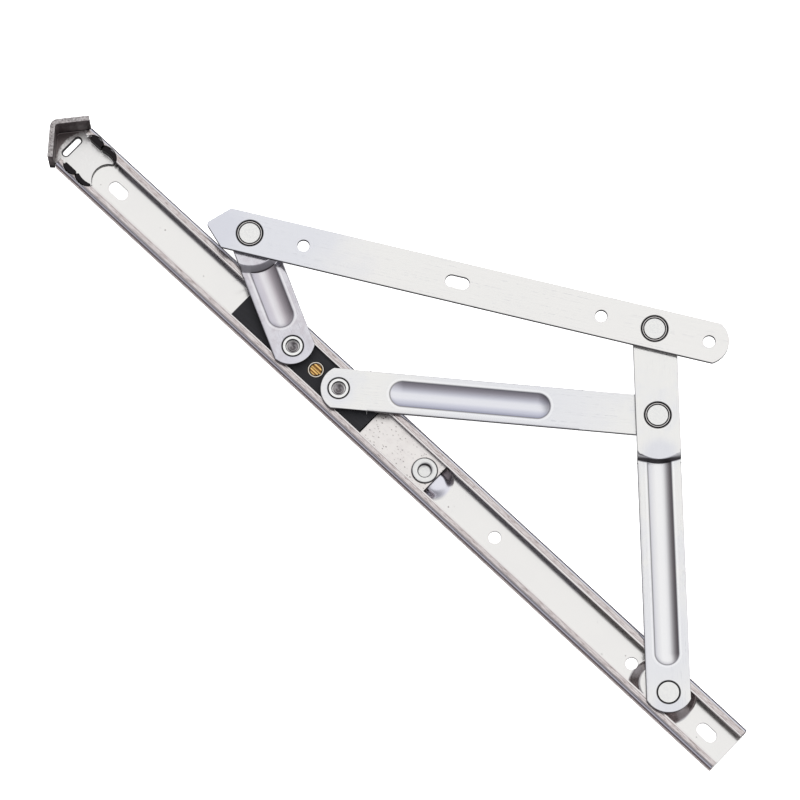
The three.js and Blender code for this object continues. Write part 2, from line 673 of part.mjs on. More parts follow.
function sliderShoe() {
  const half = INNER_HALF_WIDTH - SHOE_SIDE_PLAY;
  const shape = new THREE.Shape();
  shape.moveTo(-half, SHOE_BOTTOM + SHOE_CHAMFER);
  shape.lineTo(-half + SHOE_CHAMFER, SHOE_BOTTOM);
  shape.lineTo(half - SHOE_CHAMFER, SHOE_BOTTOM);
  shape.lineTo(half, SHOE_BOTTOM + SHOE_CHAMFER);
  shape.lineTo(half, SHOE_TOP - SHOE_CHAMFER);
  shape.lineTo(half - SHOE_CHAMFER, SHOE_TOP);
  shape.lineTo(-half + SHOE_CHAMFER, SHOE_TOP);
  shape.lineTo(-half, SHOE_TOP - SHOE_CHAMFER);
  shape.closePath();
  const coreRoom = CORE_LENGTH / 2 + FIT;
  const coreTop = CORE_BOTTOM + CORE_SHEET + FIT;
  return profileAlongX(shape, -SHOE_UPPER_REACH, SHOE_LOWER_REACH)
    .subtract(block(-coreRoom, coreRoom, CORE_WIDTH + 2 * FIT, SHOE_BOTTOM - PAST, coreTop))
    .subtract(disc(-SLIDER_PITCH / 2, SHANK_RADIUS + FIT, SHOE_BOTTOM, SHOE_TOP + PAST))
    .subtract(disc(SLIDER_PITCH / 2, SHANK_RADIUS + FIT, SHOE_BOTTOM, SHOE_TOP + PAST))
    .subtract(disc(0, INSERT_RADIUS + FIT, SHOE_BOTTOM, SHOE_TOP + PAST));
}

// The steel plate under the shoe that both arm rivets are clenched to.
function corePlate() {
  const half = CORE_LENGTH / 2;
  const top = CORE_BOTTOM + CORE_SHEET;
  const padRoom = PAD_SIDE / 2 + FIT;
  const seats = [-SLIDER_PITCH / 2, SLIDER_PITCH / 2].map((x) =>
    disc(x, SHANK_RADIUS + FIT, CORE_BOTTOM - PAST, top + PAST).add(
      disc(x, TAIL_RADIUS + FIT, CORE_BOTTOM - PAST, CORE_BOTTOM + TAIL_HEIGHT + FIT),
    ),
  );
  return block(-half, half, CORE_WIDTH, CORE_BOTTOM, top)
    .subtract(block(-padRoom, padRoom, 2 * padRoom, CORE_BOTTOM - PAST, top + PAST))
    .subtract(seats[0])
    .subtract(seats[1]);
}

function frictionPad() {
  const bottom = SHEET + FIT;
  return block(-PAD_SIDE / 2, PAD_SIDE / 2, PAD_SIDE, bottom, bottom + PAD_HEIGHT);
}

const screwTop = SHOE_TOP + SCREW_PROUD;
const screwBottom = SHEET + 2 * FIT + PAD_HEIGHT;

function frictionScrew() {
  const slotHalf = SCREW_RADIUS + PAST;
  const slotBottom = screwTop - SCREW_SLOT_DEPTH;
  return disc(0, SCREW_RADIUS, screwBottom, screwTop).subtract(
    block(-slotHalf, slotHalf, SCREW_SLOT_WIDTH, slotBottom, screwTop + PAST),
  );
}

function screwInsert() {
  const bottom = CORE_BOTTOM + CORE_SHEET + FIT;
  return ring(SCREW_RADIUS + FIT, INSERT_RADIUS, bottom, SHOE_TOP);
}

// The collar that carries an arm above the shoe.
function collar() {
  return ring(SHANK_RADIUS + FIT, COLLAR_RADIUS, SHOE_TOP + FIT, LOWER_LAYER - FIT);
}

// ---- Assembly ------------------------------------------------------------------------

function at(x, y, turn, ...pieces) {
  const group = new THREE.Group();
  group.position.set(x, y, 0);
  group.rotation.z = turn;
  group.add(...pieces);
  return group;
}

const flushTop = (layer) => layer + ARM_SHEET - HEAD_SINK;
const bossTail = BOSS_TOP - SHEET - FIT - TAIL_HEIGHT;
const openTail = MIDDLE_LAYER - FIT - TAIL_HEIGHT;
const plainRivet = (tailBottom, layer) => rivet(tailBottom, flushTop(layer), SHANK_RADIUS, TAIL_RADIUS);

const trackGroup = at(
  0,
  0,
  0,
  mesh("track", track(), trackSteel),
  mesh("end_cap", endCap(), capSteel),
  mesh("stop_plate", stopPlate(), trackSteel),
  at(eyeletX, 0, 0, mesh("stop_eyelet", stopEyelet(), rivetSteel)),
  at(
    fixedPivotX,
    0,
    0,
    mesh("fixed_pivot_rivet", plainRivet(bossTail, LOWER_LAYER), rivetSteel),
    mesh("fixed_pivot_washer", washer(LOWER_LAYER, SHANK_RADIUS), washerNylon),
  ),
);

const longGroup = at(
  fixedPivotX,
  0,
  Math.PI - OPEN_ANGLE,
  mesh("long_arm", longArm(), armSteel),
  at(
    PIVOT_TO_LINK,
    0,
    0,
    mesh("link_pivot_rivet", plainRivet(LOWER_LAYER, MIDDLE_LAYER), rivetSteel),
    mesh("link_pivot_bush", bush(MIDDLE_LAYER), rivetSteel),
    mesh("link_pivot_washer", washer(MIDDLE_LAYER, SHANK_RADIUS), washerNylon),
  ),
);

const linkGroup = at(linkPivot.x, linkPivot.y, Math.PI + linkAngle, mesh("link_arm", linkArm(), armSteel));

const sashGroup = at(
  sashPivot.x,
  sashPivot.y,
  Math.PI + sashAngle,
  mesh("sash_bar", sashBar(), barSteel),
  mesh("sash_pivot_rivet", plainRivet(MIDDLE_LAYER, UPPER_LAYER), rivetSteel),
  mesh("sash_pivot_bush", bush(UPPER_LAYER), rivetSteel),
  mesh("sash_pivot_washer", washer(UPPER_LAYER, SHANK_RADIUS), washerNylon),
  at(
    SASH_LENGTH,
    0,
    0,
    mesh(
      "tip_pivot_rivet",
      rivet(openTail, flushTop(UPPER_LAYER), OPEN_PIVOT_SHANK_RADIUS, OPEN_PIVOT_TAIL_RADIUS),
      rivetSteel,
    ),
    mesh("tip_pivot_bush", bush(UPPER_LAYER), rivetSteel),
    mesh("tip_pivot_washer", washer(UPPER_LAYER, OPEN_PIVOT_SHANK_RADIUS), washerNylon),
  ),
);

const shortGroup = at(sliderShortX, 0, Math.PI - shortAngle, mesh("short_arm", shortArm(), armSteel));

const armRivet = () => hollowRivet(CORE_BOTTOM, flushTop(LOWER_LAYER));
const sliderGroup = at(
  sliderX,
  0,
  0,
  mesh("slider_shoe", sliderShoe(), nylon),
  mesh("slider_core_plate", corePlate(), darkSteel),
  mesh("friction_pad", frictionPad(), brass),
  mesh("friction_screw", frictionScrew(), brass),
  mesh("screw_insert", screwInsert(), darkSteel),
  at(
    -SLIDER_PITCH / 2,
    0,
    0,
    mesh("short_arm_rivet", armRivet(), rivetSteel),
    mesh("short_arm_collar", collar(), darkSteel),
  ),
  at(
    SLIDER_PITCH / 2,
    0,
    0,
    mesh("link_arm_rivet", armRivet(), rivetSteel),
    mesh("link_arm_collar", collar(), darkSteel),
  ),
);

const frictionStay = new THREE.Group();
frictionStay.add(trackGroup, longGroup, linkGroup, sashGroup, shortGroup, sliderGroup);

export default frictionStay;
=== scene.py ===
"""Friction stay hinge: the finished pieces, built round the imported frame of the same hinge.

Pieces are modelled on the bench in millimetres, each in its own frame, and are then set down in the
hinge's frame in metres. +X runs along the track, +Y is the side the arms open to, +Z is up.
"""

import json
import logging
import math
from collections.abc import Callable, Sequence
from dataclasses import dataclass, field
from enum import Enum
from typing import Any

import bmesh
import bpy
from mathutils import Matrix, Vector

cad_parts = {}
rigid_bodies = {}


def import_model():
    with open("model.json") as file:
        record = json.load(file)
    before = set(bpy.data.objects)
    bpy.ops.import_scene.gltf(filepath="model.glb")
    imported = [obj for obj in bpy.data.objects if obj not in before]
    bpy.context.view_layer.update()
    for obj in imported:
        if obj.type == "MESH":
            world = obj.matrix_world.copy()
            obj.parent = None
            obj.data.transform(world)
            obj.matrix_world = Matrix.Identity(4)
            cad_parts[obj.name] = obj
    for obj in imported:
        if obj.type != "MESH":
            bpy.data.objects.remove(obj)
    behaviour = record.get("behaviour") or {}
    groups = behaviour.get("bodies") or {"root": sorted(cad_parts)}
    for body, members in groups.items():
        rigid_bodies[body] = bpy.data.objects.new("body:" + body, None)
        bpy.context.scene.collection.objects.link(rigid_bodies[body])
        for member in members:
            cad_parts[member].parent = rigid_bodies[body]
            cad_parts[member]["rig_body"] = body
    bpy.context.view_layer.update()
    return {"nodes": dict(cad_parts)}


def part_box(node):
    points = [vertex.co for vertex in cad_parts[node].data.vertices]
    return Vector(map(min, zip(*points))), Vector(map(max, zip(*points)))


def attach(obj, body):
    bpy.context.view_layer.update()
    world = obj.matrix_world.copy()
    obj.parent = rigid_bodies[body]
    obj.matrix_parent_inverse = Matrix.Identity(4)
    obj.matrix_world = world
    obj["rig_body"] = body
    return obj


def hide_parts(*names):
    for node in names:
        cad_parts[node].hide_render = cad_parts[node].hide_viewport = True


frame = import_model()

MM = 0.001
STEPS = 64
PAST = 2.0

log = logging.getLogger("friction_stay")

Colour = tuple[float, float, float]


class Part(Enum):
    """What an edit-mode selection is made of."""

    POINTS = "verts"
    EDGES = "edges"
    FACES = "faces"


class Joining(Enum):
    """How a boolean combines two solids."""

    ADD = "UNION"
    CUT = "DIFFERENCE"
    KEEP = "INTERSECT"


class Slot(Enum):
    """The record's material slots."""

    TRACK = "track_steel"
    ARM = "arm_steel"
    BAR = "bar_steel"
    RIVET = "rivet_steel"
    CAP = "cap_steel"
    DARK = "dark_steel"
    NYLON = "black_nylon"
    WASHER = "washer_nylon"
    BRASS = "brass"


@dataclass(frozen=True)
class Place:
    """Where a piece's own frame stands in the hinge: a point in millimetres and a turn about Z."""

    x: float = 0.0
    y: float = 0.0
    turn: float = 0.0


@dataclass(frozen=True)
class Ring:
    """One ring of a stacked form: its centre along X, its radius and its height."""

    x: float
    radius: float
    z: float


# ---- The bench --------------------------------------------------------------------------


class Bench:
    """Blender's modelling operators, worked in millimetres on one piece at a time."""

    def hold(self, piece: bpy.types.Object) -> None:
        """Makes a piece the only selected and active object.

        Args:
            piece: The object to work on.
        """
        bpy.ops.object.select_all(action="DESELECT")
        piece.select_set(True)
        bpy.context.view_layer.objects.active = piece

    def _new(self) -> bpy.types.Object:
        """Takes the primitive that was just added, with its place put into its mesh."""
        piece = bpy.context.object
        bpy.ops.object.transform_apply(location=True, rotation=True, scale=True)
        return piece

    def choose(self, piece: bpy.types.Object, part: Part, test: Callable[[Any], bool]) -> int:
        """Selects, in edit mode, the points, edges or faces that pass a test.

        Args:
            piece: The object in edit mode.
            part: What to select.
            test: Says whether one element is wanted.

        Returns:
            How many elements were selected.
        """
        mesh = bmesh.from_edit_mesh(piece.data)
        for group in (mesh.verts, mesh.edges, mesh.faces):
            for element in group:
                element.select_set(False)
        wanted = [element for element in getattr(mesh, part.value) if test(element)]
        for element in wanted:
            element.select_set(True)
        bmesh.update_edit_mesh(piece.data)
        return len(wanted)

    def edit(self, piece: bpy.types.Object, part: Part = Part.POINTS) -> None:
        """Opens a piece in edit mode.

        Args:
            piece: The object to open.
            part: The selection mode.
        """
        self.hold(piece)
        bpy.ops.object.mode_set(mode="EDIT")
        kind = {Part.POINTS: "VERT", Part.EDGES: "EDGE", Part.FACES: "FACE"}[part]
        bpy.ops.mesh.select_mode(type=kind)

    def close(self, outward: bool = True) -> None:
        """Leaves edit mode, with doubles merged and faces turned outwards.

        Args:
            outward: Whether to merge and turn the faces first.
        """
        if outward:
            bpy.ops.mesh.select_all(action="SELECT")
            bpy.ops.mesh.remove_doubles(threshold=0.0005)
            bpy.ops.mesh.normals_make_consistent(inside=False)
        bpy.ops.object.mode_set(mode="OBJECT")

    def block(self, low: Sequence[float], high: Sequence[float]) -> bpy.types.Object:
        """Adds a block between two corners.

        Args:
            low: The lowest corner.
            high: The highest corner.

        Returns:
            The block.
        """
        middle = [(a + b) / 2 for a, b in zip(low, high)]
        size = [b - a for a, b in zip(low, high)]
        bpy.ops.object.select_all(action="DESELECT")
        bpy.ops.mesh.primitive_cube_add(size=1, location=middle, scale=size)
        return self._new()

    def stacked(self, rings: Sequence[Ring], stretch: float = 0.0, steps: int = STEPS) -> bpy.types.Object:
        """Builds a closed form of rings, each extruded from the one before, moved and resized.

        Args:
            rings: The rings from bottom to top.
            stretch: How far the half beyond each ring's centre is moved along +X.
            steps: The points round each ring.

        Returns:
            The closed form.
        """
        first = rings[0]
        bpy.ops.object.select_all(action="DESELECT")
        bpy.ops.mesh.primitive_circle_add(
            vertices=steps, radius=first.radius, fill_type="NGON", location=(first.x, 0, first.z)
        )
        piece = self._new()
        self.edit(piece, Part.FACES)
        bpy.ops.mesh.select_all(action="SELECT")
        for last, ring in zip(rings, rings[1:]):
            step = (ring.x - last.x, 0, ring.z - last.z)
            bpy.ops.mesh.extrude_region_move(TRANSFORM_OT_translate={"value": step})
            ratio = ring.radius / last.radius
            bpy.ops.transform.resize(value=(ratio, ratio, 1), center_override=(ring.x, 0, ring.z))
        if stretch:
            near = 1e-3
            bpy.ops.mesh.select_mode(type="VERT")
            self.choose(
                piece,
                Part.POINTS,
                lambda v: any(abs(v.co.z - r.z) < near and v.co.x > r.x + near for r in rings),
            )
            bpy.ops.transform.translate(value=(stretch, 0, 0))
        self.close()
        return piece

    def disc(self, x: float, radius: float, bottom: float, top: float) -> bpy.types.Object:
        """Adds an upright disc or pin at x."""
        return self.stacked([Ring(x, radius, bottom), Ring(x, radius, top)])

    def oblong(self, from_x: float, to_x: float, width: float, bottom: float, top: float) -> bpy.types.Object:
        """Adds an upright form with half-round ends, its long side along X."""
        radius = width / 2
        rings = [Ring(from_x + radius, radius, bottom), Ring(from_x + radius, radius, top)]
        return self.stacked(rings, stretch=to_x - from_x - width)

    def trough(self, from_x: float, to_x: float, width: float, depth: float, top: float, wall: float = 0.0
               ) -> bpy.types.Object:
        """Adds a long ball whose lower cap is a pressed groove's hollow.

        Args:
            from_x: The start of the groove at the surface.
            to_x: The end of the groove at the surface.
            width: The groove's width at the surface.
            depth: Its depth in the middle.
            top: The height of the surface.
            wall: How much larger the ball is all round, for the outside of the groove.

        Returns:
            The closed long ball.
        """
        radius = (width * width / 4 + depth * depth) / (2 * depth)
        start = from_x + width / 2
        bpy.ops.object.select_all(action="DESELECT")
        bpy.ops.mesh.primitive_uv_sphere_add(
            segments=96, ring_count=72, radius=radius + wall, location=(start, 0, top - depth + radius)
        )
        ball = self._new()
        self.edit(ball)
        self.choose(ball, Part.POINTS, lambda v: v.co.x > start + 1e-3)
        bpy.ops.transform.translate(value=(to_x - from_x - width, 0, 0))
        self.close()
        return ball

    def turned(self, profile: Sequence[tuple[float, float]], x: float = 0.0) -> bpy.types.Object:
        """Spins a profile round the upright line at x.

        Args:
            profile: Radius and height pairs. It starts and ends on the line, or closes on itself.
            x: Where the line stands.

        Returns:
            The turned piece.
        """
        bpy.ops.object.select_all(action="DESELECT")
        bpy.ops.mesh.primitive_plane_add(size=1, location=(0, 0, 0))
        piece = self._new()
        self.edit(piece)
        bpy.ops.mesh.select_all(action="SELECT")
        bpy.ops.mesh.merge(type="CENTER")
        last = (0.0, 0.0)
        for index, (radius, height) in enumerate(profile):
            step = (radius - last[0], 0, height - last[1])
            if index:
                bpy.ops.mesh.extrude_region_move(TRANSFORM_OT_translate={"value": step})
            else:
                bpy.ops.transform.translate(value=(x + step[0], 0, step[2]))
            last = (radius, height)
        bpy.ops.mesh.select_all(action="SELECT")
        bpy.ops.mesh.spin(steps=STEPS, angle=2 * math.pi, center=(x, 0, 0), axis=(0, 0, 1))
        self.close()
        return piece

    def ring(self, inner: float, outer: float, bottom: float, top: float, x: float = 0.0) -> bpy.types.Object:
        """Adds an upright ring with broken edges."""
        edge = min(0.08, (top - bottom) / 4, (outer - inner) / 4)
        return self.turned(
            [
                (inner, bottom + edge),
                (inner + edge, bottom),
                (outer - edge, bottom),
                (outer, bottom + edge),
                (outer, top - edge),
                (outer - edge, top),
                (inner + edge, top),
                (inner, top - edge),
                (inner, bottom + edge),
            ],
            x,
        )

    def combine(self, piece: bpy.types.Object, joining: Joining, *tools: bpy.types.Object) -> bpy.types.Object:
        """Adds, cuts or keeps the common part of solids, one tool after another.

        Args:
            piece: The solid that is changed.
            joining: What is done.
            tools: The other solids, which are used up.

        Returns:
            The changed solid.
        """
        for tool in tools:
            self.hold(piece)
            bpy.ops.object.modifier_add(type="BOOLEAN")
            modifier = piece.modifiers[-1]
            modifier.operation = joining.value
            modifier.solver = "EXACT"
            modifier.object = tool
            bpy.ops.object.modifier_apply(modifier=modifier.name)
            bpy.data.objects.remove(tool)
        return piece

    def copy(self, piece: bpy.types.Object) -> bpy.types.Object:
        """Copies a piece with its own mesh."""
        self.hold(piece)
        bpy.ops.object.duplicate()
        return bpy.context.object

    def round_edges(self, piece: bpy.types.Object, test: Callable[[Any], bool], radius: float, segments: int = 6
                    ) -> bpy.types.Object:
        """Rounds the edges that pass a test.

        Args:
            piece: The solid.
            test: Says whether one edge is rounded.
            radius: The radius of the rounding.
            segments: The facets across it.

        Returns:
            The same solid.
        """
        self.edit(piece, Part.EDGES)
        if self.choose(piece, Part.EDGES, test):
            bpy.ops.mesh.bevel(offset=radius, offset_type="OFFSET", segments=segments, profile=0.5, affect="EDGES")
        self.close()
        return piece

    def break_edges(self, piece: bpy.types.Object, width: float = 0.16, angle: float = 32.0, segments: int = 2
                    ) -> bpy.types.Object:
        """Breaks every sharp edge and shades the piece smooth with its flat faces kept flat.

        Args:
            piece: The solid.
            width: The width of the broken edge.
            angle: The edge angle, in degrees, above which an edge is sharp.
            segments: The facets across the broken edge.

        Returns:
            The same solid.
        """
        self.edit(piece)
        bpy.ops.mesh.select_all(action="SELECT")
        bpy.ops.mesh.remove_doubles(threshold=max(0.002, width * 0.3))
        bpy.ops.mesh.dissolve_degenerate(threshold=0.002)
        bpy.ops.mesh.dissolve_limited(angle_limit=math.radians(0.6))
        self.close()
        self.hold(piece)
        if width:
            bpy.ops.object.modifier_add(type="BEVEL")
            bevel = piece.modifiers[-1]
            bevel.width = width
            bevel.segments = segments
            bevel.limit_method = "ANGLE"
            bevel.angle_limit = math.radians(angle)
            bevel.use_clamp_overlap = False
            bevel.loop_slide = False
            bpy.ops.object.modifier_apply(modifier=bevel.name)
        bpy.ops.object.shade_smooth_by_angle(angle=math.radians(angle))
        bpy.ops.object.modifier_add(type="WEIGHTED_NORMAL")
        weighted = piece.modifiers[-1]
        weighted.keep_sharp = True
        bpy.ops.object.modifier_apply(modifier=weighted.name)
        return piece

    def set_down(self, piece: bpy.types.Object, name: str, place: Place) -> bpy.types.Object:
        """Names a finished piece and puts its place in the hinge, in metres, into its mesh.

        Args:
            piece: The finished piece in its own frame, in millimetres.
            name: The piece's name.
            place: Where its frame stands in the hinge.

        Returns:
            The same piece, with its object at the origin.
        """
        piece.name = name
        piece.data.name = name
        spot = Matrix.Translation((place.x * MM, place.y * MM, 0))
        piece.matrix_world = spot @ Matrix.Rotation(place.turn, 4, "Z") @ Matrix.Scale(MM, 4)
        bpy.context.view_layer.update()
        self.hold(piece)
        bpy.ops.object.transform_apply(location=True, rotation=True, scale=True)
        return piece


# ---- Shader maths -----------------------------------------------------------------------


class Signal:
    """A node's output that takes part in arithmetic: each expression adds its Math nodes."""

    def __init__(self, shader: "Shader", socket: bpy.types.NodeSocket) -> None:
        """Holds the socket and the shader that it belongs to."""
        self.shader = shader
        self.socket = socket

    def _math(self, operation: str, *values: Any) -> "Signal":
        """Adds one Math node."""
        inputs = dict(enumerate(values))
        return self.shader.node("ShaderNodeMath", {"operation": operation}, inputs)

    def __add__(self, other: Any) -> "Signal":
        """self + other."""
        return self._math("ADD", self, other)

    __radd__ = __add__

    def __sub__(self, other: Any) -> "Signal":
        """self - other."""
        return self._math("SUBTRACT", self, other)

    def __rsub__(self, other: Any) -> "Signal":
        """other - self."""
        return self._math("SUBTRACT", other, self)

    def __mul__(self, other: Any) -> "Signal":
        """self * other."""
        return self._math("MULTIPLY", self, other)

    __rmul__ = __mul__

    def __truediv__(self, other: Any) -> "Signal":
        """self / other."""
        return self._math("DIVIDE", self, other)

    def __rtruediv__(self, other: Any) -> "Signal":
        """other / self."""
        return self._math("DIVIDE", other, self)

    def __pow__(self, other: Any) -> "Signal":
        """self to the power of other."""
        return self._math("POWER", self, other)

    def __abs__(self) -> "Signal":
        """The size of self."""
        return self._math("ABSOLUTE", self)

    def rise(self, start: float, end: float) -> "Signal":
        """Goes from 0 at start to 1 at end, smoothly, and stays there."""
        return self.shader.node(
            "ShaderNodeMapRange",
            {"interpolation_type": "SMOOTHSTEP"},
            {"Value": self, "From Min": start, "From Max": end},
        )


class Shader:
    """A Principled material that is being wired."""

    def __init__(self, name: str) -> None:
        """Starts an empty material of that name."""
        self.material = bpy.data.materials.new(name)
        self.material.use_nodes = True
        self.tree = self.material.node_tree
        self.surface = self.tree.nodes["Principled BSDF"]

    def node(self, kind: str, settings: dict[str, Any] | None = None, inputs: dict[Any, Any] | None = None,
             output: Any = 0) -> Signal:
        """Adds one node.

        Args:
            kind: The node's type.
            settings: Its properties, and "stops" for a ramp's positions and colours.
            inputs: Values or links for its sockets, by name or number.
            output: Which of its outputs is returned.

        Returns:
            The chosen output.
        """
        made = self.tree.nodes.new(kind)
        for key, value in (settings or {}).items():
            if key == "stops":
                ramp = made.color_ramp
                while len(ramp.elements) < len(value):
                    ramp.elements.new(0.5)
                for element, (position, colour) in zip(ramp.elements, value):
                    element.position = position
                    element.color = (*colour, 1)
            else:
                setattr(made, key, value)
        for key, value in (inputs or {}).items():
            self.feed(made.inputs[key], value)
        return Signal(self, made.outputs[output])

    def feed(self, socket: bpy.types.NodeSocket, value: Any) -> None:
        """Links or sets one socket.

        Args:
            socket: The socket that is fed.
            value: A signal, a number, a colour or a vector.
        """
        if isinstance(value, Signal):
            self.tree.links.new(value.socket, socket)
        elif isinstance(value, (tuple, list)) and socket.type == "RGBA":
            socket.default_value = (*value, 1)
        else:
            socket.default_value = value

    def local(self, place: Place) -> Signal:
        """The piece's own coordinates in millimetres, from its Object coordinates."""
        coordinates = self.node("ShaderNodeTexCoord", output="Object")
        return self.node(
            "ShaderNodeMapping",
            {"vector_type": "TEXTURE"},
            {
                "Vector": coordinates,
                "Location": (place.x * MM, place.y * MM, 0),
                "Rotation": (0, 0, place.turn),
                "Scale": (MM, MM, MM),
            },
        )

    def split(self, vector: Signal) -> tuple[Signal, Signal, Signal]:
        """The three components of a vector."""
        first = self.node("ShaderNodeSeparateXYZ", inputs={0: vector})
        outputs = first.socket.node.outputs
        return first, Signal(self, outputs[1]), Signal(self, outputs[2])

    def scaled(self, vector: Signal, scale: Sequence[float]) -> Signal:
        """A vector with each component multiplied."""
        return self.node("ShaderNodeVectorMath", {"operation": "MULTIPLY"}, {0: vector, 1: tuple(scale)})

    def noise(self, vector: Signal, scale: float, detail: float = 3.0, rough: float = 0.55) -> Signal:
        """A soft noise value about 0.5."""
        return self.node(
            "ShaderNodeTexNoise",
            inputs={"Vector": vector, "Scale": scale, "Detail": detail, "Roughness": rough},
        )

    def mix(self, factor: Any, first: Any, second: Any) -> Signal:
        """A colour between two colours."""
        made = self.tree.nodes.new("ShaderNodeMix")
        made.data_type = "RGBA"
        self.feed(made.inputs[0], factor)
        self.feed(made.inputs[6], first)
        self.feed(made.inputs[7], second)
        return Signal(self, made.outputs[2])

    def upright(self) -> Signal:
        """How level the surface is: 1 on a flat face, 0 on a wall."""
        normal = self.node("ShaderNodeNewGeometry", output="Normal")
        return abs(self.split(normal)[2])


# ---- Finishes ---------------------------------------------------------------------------


@dataclass(frozen=True)
class Bloom:
    """A soft round patch of another tone, in the piece's own millimetres."""

    x: float
    y: float
    radius: float
    colour: Colour
    strength: float = 0.8


@dataclass(frozen=True)
class PaintedGrooveShading:
    """Painted light and shade for a pressed groove: a painted reflection tint inside, painted shade on one wall and
    bluish painted shade on the other, a painted highlight halo outside and along the middle, and a painted shade line
    at its rim.
    """

    start: float
    end: float
    width: float
    reflection_tint: Colour = (0.60, 0.61, 0.70)
    shade: Colour = (0.42, 0.40, 0.44)
    shade_from: float = 0.05
    shade_to: float = 0.85
    strength: float = 0.85
    near_shade: Colour = (0.40, 0.41, 0.51)
    near_strength: float = 0.7
    top: float = 10.6

    def tone(self, shader: "Shader", x: "Signal", y: "Signal", z: "Signal", colour: "Signal") -> "Signal":
        """Paints the groove's light and shade into a colour.

        Args:
            shader: The material's shader.
            x: Millimetres along the arm.
            y: Millimetres across the arm.
            z: The height in millimetres.
            colour: The arm's colour.

        Returns:
            The colour with the groove's painted light and shade.
        """
        half = self.width / 2
        reach = (self.end - self.start) / 2 - half
        beyond = abs(x - (self.start + self.end) / 2) - reach
        beyond = shader.node("ShaderNodeMath", {"operation": "MAXIMUM"}, {0: beyond, 1: 0.0})
        away = (beyond * beyond + y * y) ** 0.5 / half
        low = 1 - z.rise(self.top - 0.1, self.top + 0.1)
        inside = (1 - away.rise(0.94, 1.0)) * low
        # Painted highlight: a pale halo just outside the rim.
        halo_highlight = (1 - abs(away - 1.16).rise(0.0, 0.14)) * low * 0.4
        colour = shader.mix(halo_highlight, colour, (0.92, 0.92, 0.93))
        # Painted reflection: a tint over the inside of the groove.
        colour = shader.mix(inside * 0.8, colour, self.reflection_tint)
        across = y * (-1 / half)
        # Painted highlight along the middle of the groove.
        crown_highlight = (1 - abs(across + 0.1).rise(0.1, 0.5)) * inside
        colour = shader.mix(crown_highlight * 0.5, colour, (0.84, 0.84, 0.85))
        # Painted shade on the wall at -Y.
        dark = across.rise(self.shade_from, self.shade_to) * inside
        colour = shader.mix(dark * self.strength, colour, self.shade)
        # Bluish painted shade on the wall at +Y.
        near = (across * -1).rise(0.3, 0.95) * inside
        colour = shader.mix(near * self.near_strength, colour, self.near_shade)
        # Painted shade: a dark line along the rim.
        rim = (1 - abs(away - 1.0).rise(0.0, 0.09)) * low
        return shader.mix(rim * 0.75, colour, (0.10, 0.095, 0.11))


@dataclass(frozen=True)
class Steel:
    """Cold-rolled stainless steel: bright faces, painted dark shade on the upright walls, cloudy tone, rolling grain
    and pits.
    """

    name: str
    colour: Colour
    cloud: Colour
    # Near-black painted shade for the upright faces.
    wall: Colour = (0.07, 0.065, 0.07)
    roughness: float = 0.2
    cloud_size: float = 14.0
    cloud_share: float = 0.5
    grain: float = 0.35
    pits: float = 0.0
    pit_size: float = 1.3
    blooms: tuple[Bloom, ...] = ()
    hollow: PaintedGrooveShading | None = None
    # Painted shade rings in the gaps round sunk heads: a spot along X and a radius each.
    shaded_crevices: tuple[tuple[float, float], ...] = ()

    def dress(self, place: Place) -> bpy.types.Material:
        """Makes the material for a piece that stands at a place.

        Args:
            place: Where the piece's own frame stands, so that the grain follows the piece.

        Returns:
            The material.
        """
        shader = Shader(self.name)
        point = shader.local(place)
        x, y, z = shader.split(point)
        level = shader.upright()
        cloud = shader.noise(point, 1 / self.cloud_size, 5.0, 0.6)
        colour = shader.mix(cloud.rise(0.4, 0.62) * self.cloud_share, self.colour, self.cloud)
        for bloom in self.blooms:
            away = ((x - bloom.x) ** 2 + (y - bloom.y) ** 2) ** 0.5
            edge = away / bloom.radius + (cloud - 0.5) * 0.9
            colour = shader.mix((1 - edge.rise(0.35, 1.0)) * bloom.strength, colour, bloom.colour)
        fine = shader.noise(shader.scaled(point, (0.12, 3.0, 2.0)), 1.0, 4.0, 0.6)
        mottle = shader.noise(point, 0.55, 5.0, 0.6)
        tone = (fine - 0.5) * 0.14 * self.grain + (mottle - 0.5) * 0.12 * self.grain
        colour = shader.node(
            "ShaderNodeHueSaturation", inputs={"Color": colour, "Value": tone + 1.0}
        )
        scratch = shader.noise(shader.scaled(point, (0.04, 5.0, 1.0)), 1.0, 3.0, 0.5).rise(0.56, 0.66)
        scratch = scratch * mottle.rise(0.46, 0.6)
        colour = shader.mix(scratch * self.grain * 0.8, colour, (0.42, 0.42, 0.48))
        # Painted light and shade in the groove.
        if self.hollow:
            colour = self.hollow.tone(shader, x, y, z, colour)
        # Painted shade: a near-black ring just outside each sunk seat.
        for spot, radius in self.shaded_crevices:
            away = ((x - spot) ** 2 + y * y) ** 0.5
            line = 1 - abs(away - radius - 0.12).rise(0.1, 0.42)
            colour = shader.mix(line * 0.92, colour, (0.015, 0.013, 0.015))
        rough = (mottle - 0.5) * 0.12 + self.roughness
        height = fine * 0.7 + mottle * 0.3
        if self.pits:
            spots = shader.node(
                "ShaderNodeTexVoronoi",
                {"feature": "F1"},
                {"Vector": shader.scaled(point, (0.8, 1.2, 1.0)), "Scale": 1 / self.pit_size, "Randomness": 1.0},
            )
            patchy = shader.noise(point, 0.3, 2.0).rise(0.3, 0.62)
            pit = (1 - spots.rise(0.1, 0.32)) * patchy * self.pits
            colour = shader.mix(pit, colour, (0.07, 0.055, 0.05))
            height = height - pit * 1.5
        # Painted shade: upright faces take the near-black wall colour.
        flat = level.rise(0.55, 0.87)
        colour = shader.mix(flat, self.wall, colour)
        shader.feed(shader.surface.inputs["Base Color"], colour)
        shader.feed(shader.surface.inputs["Metallic"], 1.0)
        shader.feed(shader.surface.inputs["Roughness"], (1 - flat) * 0.22 + rough)
        bump = shader.node(
            "ShaderNodeBump", inputs={"Strength": 0.3 * self.grain, "Distance": 0.00002, "Height": height}
        )
        shader.feed(shader.surface.inputs["Normal"], bump)
        return shader.material


